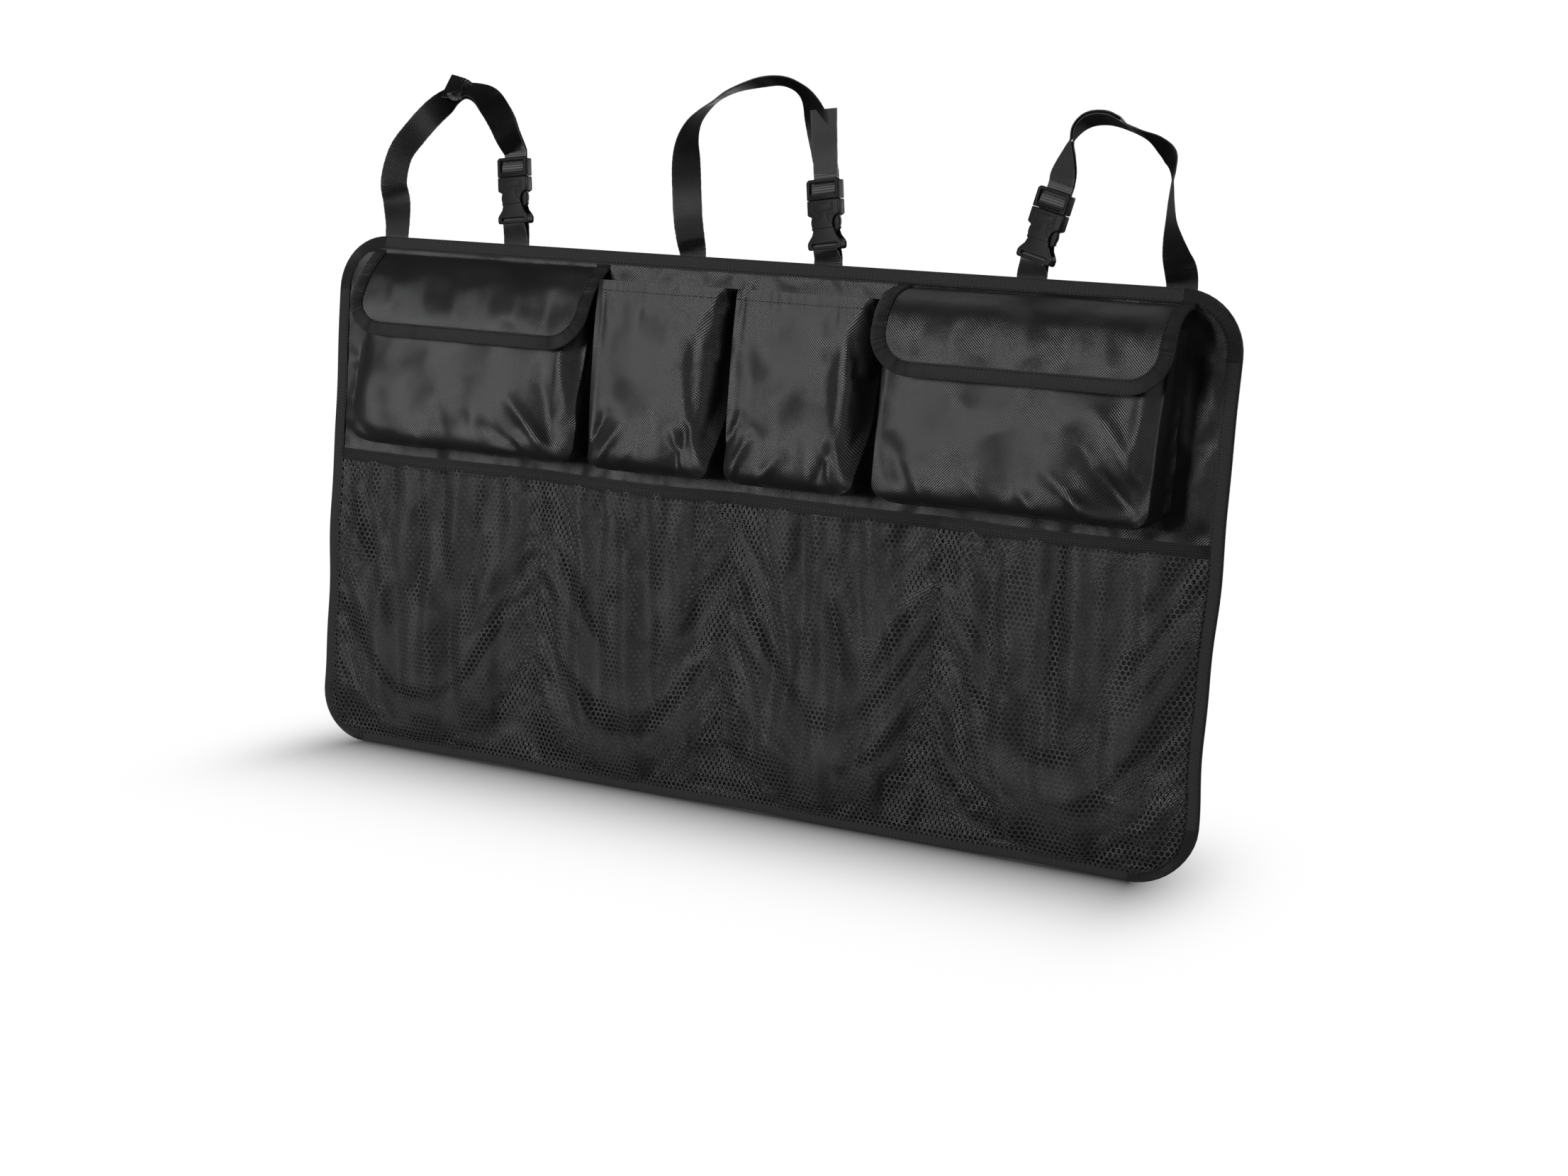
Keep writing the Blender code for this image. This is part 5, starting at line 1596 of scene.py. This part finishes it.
def plate(outlines, thickness, rounding, y=0.0):
    """Points and faces of a plate in XZ with rounded edges; outlines after the first are holes."""
    curve = bpy.data.curves.new("plate", "CURVE")
    curve.dimensions = "2D"
    curve.fill_mode = "BOTH"
    curve.extrude = thickness / 2 - rounding
    curve.bevel_depth = rounding
    curve.bevel_resolution = 3
    curve.offset = -rounding
    for outline in outlines:
        line = curve.splines.new("POLY")
        line.points.add(len(outline) - 1)
        for point, (x, z) in zip(line.points, outline):
            point.co = (x, z, 0, 1)
        line.use_cyclic_u = True
    obj = link_object("plate", curve)
    graph = bpy.context.evaluated_depsgraph_get()
    mesh = bpy.data.meshes.new_from_object(obj.evaluated_get(graph))
    bpy.data.objects.remove(obj)
    work = bmesh.new()
    work.from_mesh(mesh)
    bmesh.ops.remove_doubles(work, verts=work.verts, dist=1e-6)
    work.verts.index_update()
    points = [(v.co.x, y - v.co.z, v.co.y) for v in work.verts]
    faces = [tuple(v.index for v in face.verts) for face in work.faces]
    work.free()
    bpy.data.meshes.remove(mesh)
    return points, faces


def rounded_outline(low_x, low_z, high_x, high_z, radius):
    x0, x1, z0, z1 = low_x + radius, high_x - radius, low_z + radius, high_z - radius
    corners = ((x1, z1, 0), (x0, z1, 90), (x0, z0, 180), (x1, z0, 270))
    return [point for x, z, turn in corners for point in arc(x, z, radius, turn, turn + 90, 3)]


def rounded_box(low, high, rounding=EDGE_ROUND):
    """A plate whose outline is a box with rounded corners."""
    outline = rounded_outline(low[0], low[2], high[0], high[2], rounding)
    return plate([outline], high[1] - low[1], 0.9 * rounding, (low[1] + high[1]) / 2)


def make_moulding(name, solids, matrix, node, body):
    points, faces = [], []
    for more, skin in solids:
        first = len(points)
        points += more
        faces += [tuple(first + i for i in face) for face in skin]
    piece = mesh_object(name, points, faces, plastic)
    piece.data.transform(matrix)
    outwards(piece)
    stands_for(piece, node, body)


def slot_hole(half, low, high):
    return rounded_outline(-half, low, half, high, min((high - low) / 2, 1 * MM) * 0.98)


def prong_outline(sign):
    """A prong from the shoulder down, with a thumb bulge on its outer side."""
    reach = BUCKLE_W / 2 - 1.5 * MM
    root = reach - PRONG_BULGE
    inner = reach - PRONG_W
    swell_top, swell_low = -SOCKET_COLLAR, -PRONG_LENGTH + 3 * MM
    points = [(inner, SHOULDER_H / 2), (inner, swell_top), (inner + 1.5 * MM, -PRONG_LENGTH)]
    points += [(root, -PRONG_LENGTH), (reach - 0.4 * MM, swell_low)]
    points += arc(reach - 9 * MM, (swell_top + swell_low) / 2, 9 * MM, -25, 25, 6)
    points += [(reach - 0.6 * MM, swell_top), (root, swell_top + 2.5 * MM), (root, SHOULDER_H / 2)]
    return [(sign * x, z) for x, z in (points if sign > 0 else points[::-1])]


def socket_outline(inset=0.0, top=-0.3 * MM):
    half = BUCKLE_W / 2 - inset
    foot = half + 1 * MM
    low = -SOCKET_LENGTH + inset
    right = arc(half - 1 * MM, top - 1 * MM, 1 * MM, 90, 0, 3) + [(half, -SOCKET_COLLAR + 1 * MM)]
    right += arc(half, -SOCKET_COLLAR - 7 * MM, 7 * MM + inset, 100, 215, 12)
    right += [(SOCKET_WAIST + 2 * MM - inset, low + 12 * MM), (foot - 1.2 * MM, low + 7.5 * MM)]
    right += [(foot, low + 5.5 * MM)] + arc(foot - 2.5 * MM, low + 2.5 * MM, 2.5 * MM, 0, -90, 5)
    return right + [(-x, z) for x, z in reversed(right)]


def make_plug():
    half, window, rail = BUCKLE_W / 2, BUCKLE_W / 2 - BUCKLE_WALL, BUCKLE_DEPTH / 2
    frame = [(-half, 0), (half, 0)] + arc(half - 3 * MM, PLUG_HEIGHT - 3 * MM, 3 * MM, 0, 90)
    frame += arc(-half + 3 * MM, PLUG_HEIGHT - 3 * MM, 3 * MM, 90, 180)
    hole = slot_hole(window, SHOULDER_H, PLUG_HEIGHT - END_BAR_H)
    plug = [plate([frame, hole], BUCKLE_DEPTH * 0.55, 1.1 * MM, -BUCKLE_DEPTH * 0.225)]
    for sign in (-1, 1):
        near, far = sorted((sign * window, sign * half))
        plug.append(rounded_box((near, -rail, 0.2 * MM), (far, rail, PLUG_HEIGHT - 1.5 * MM)))
        plug.append(plate([prong_outline(sign)], PRONG_T, EDGE_ROUND))
    plug.append(rounded_box((-window, -rail, 0.1 * MM), (window, rail, SHOULDER_H)))
    plug.append(rounded_box((-window - MM, -LADDER_T / 2, LADDER_LOW),
                            (window + MM, LADDER_T / 2, LADDER_LOW + LADDER_H)))
    plug.append(rounded_box((-3 * MM, -1.5 * MM, -0.65 * PRONG_LENGTH),
                            (3 * MM, 1.5 * MM, SHOULDER_H / 2), 0.7 * MM))
    return plug


def make_socket():
    half, front = BUCKLE_W / 2, -BUCKLE_DEPTH / 2
    bar_top = -SOCKET_LENGTH + FOOT_BAR_H
    slot = slot_hole(WEB_W / 2 + 1 * MM, bar_top, bar_top + FOOT_SLOT)
    shell = socket_outline()
    faces_at = (BUCKLE_DEPTH - SOCKET_SKIN) / 2
    socket = [plate([shell, slot], SOCKET_SKIN, EDGE_ROUND, y) for y in (-faces_at, faces_at)]
    raised = [(x * 0.62, z * 0.52 - 3.2 * MM) for x, z in socket_outline(1.5 * MM)]
    socket.append(plate([raised], 1.2 * MM, 0.5 * MM, front + 0.2 * MM))
    core = BUCKLE_DEPTH - 2 * SOCKET_SKIN + 0.6 * MM
    block = [(x, z) for x, z in socket_outline(0.4 * MM) if z < -BLOCK_TOP]
    socket.append(plate([block, slot], core, 0.3 * MM))
    for sign in (-1, 1):
        near, far = sorted((sign * (half - 1.2 * MM), sign * (half - 0.1 * MM)))
        socket.append(rounded_box((near, -core / 2, -SOCKET_COLLAR), (far, core / 2, -0.4 * MM), 0.5 * MM))
        near, far = sorted((sign * 9.5 * MM, sign * 11.0 * MM))
        socket.append(rounded_box((near, front - 0.35 * MM, -SOCKET_COLLAR + 1 * MM),
                                  (far, front + 1 * MM, -2 * MM), 0.6 * MM))
    return socket


def make_buckle(side, loop):
    matrix = buckle_matrix(loop)
    make_moulding(f"{side}_plug_moulding", make_plug(), matrix, f"{side}_buckle_plug", f"{side}_plug")
    make_moulding(f"{side}_socket_moulding", make_socket(), matrix, f"{side}_buckle_socket", "organizer")


make_camera()
make_light()
make_floor()
fabric = make_fabric()
tape = make_tape_material()
net = make_plain("knitted_net", (0.55, 0.35, 0.2), 0.9 * MM, 2, (0.016, 0.016, 0.017), (0.085, 0.085, 0.087),
                 0.2 * MM)
webbing = make_webbing_material()
elastic = make_elastic_material()
thread = make_plain("sewing_thread", (0.5, 0.4, 0.1), 0.6 * MM, 2, (0.002,) * 3, (0.012,) * 3)
plastic = make_plastic()
hook_and_loop = make_plain("hook_and_loop", (0.85, 0.2, 0.5, 0.6), 0.6 * MM, 4, (0.004,) * 3, (0.03,) * 3,
                           0.8 * MM)

drapes = []
panel_drape, panel_shape = make_panel_drape()
big_pockets = {side: make_flapped_pocket(side) for side in ("left", "right")}
open_seeds = {"centre_left_pocket": 12, "centre_right_pocket": 14}
open_pockets = {name: make_open_pocket(name, seed) for name, seed in open_seeds.items()}
flaps = {side: Flap(side) for side in ("left", "right")}
net_drape, net_shape = make_net_drape()
run_drapes()
make_panel(panel_drape, panel_shape)
make_binding()
for side in ("left", "right"):
    pocket_front = finish_pocket(big_pockets[side], f"{side}_pocket_cloth", f"{side}_pocket_front",
                                 f"{side}_gusset_cloth", f"{side}_pocket_gusset")
    flap_cloth = flaps[side].finish(pocket_front)
    make_grips(side, pocket_front, flap_cloth)
for name, pocket in open_pockets.items():
    finish_open_pocket(pocket, name)
make_net(net_drape, net_shape)
make_elastic()
for side, loop in LOOPS.items():
    make_straps(side, loop)
    make_buckle(side, loop)

low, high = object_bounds()
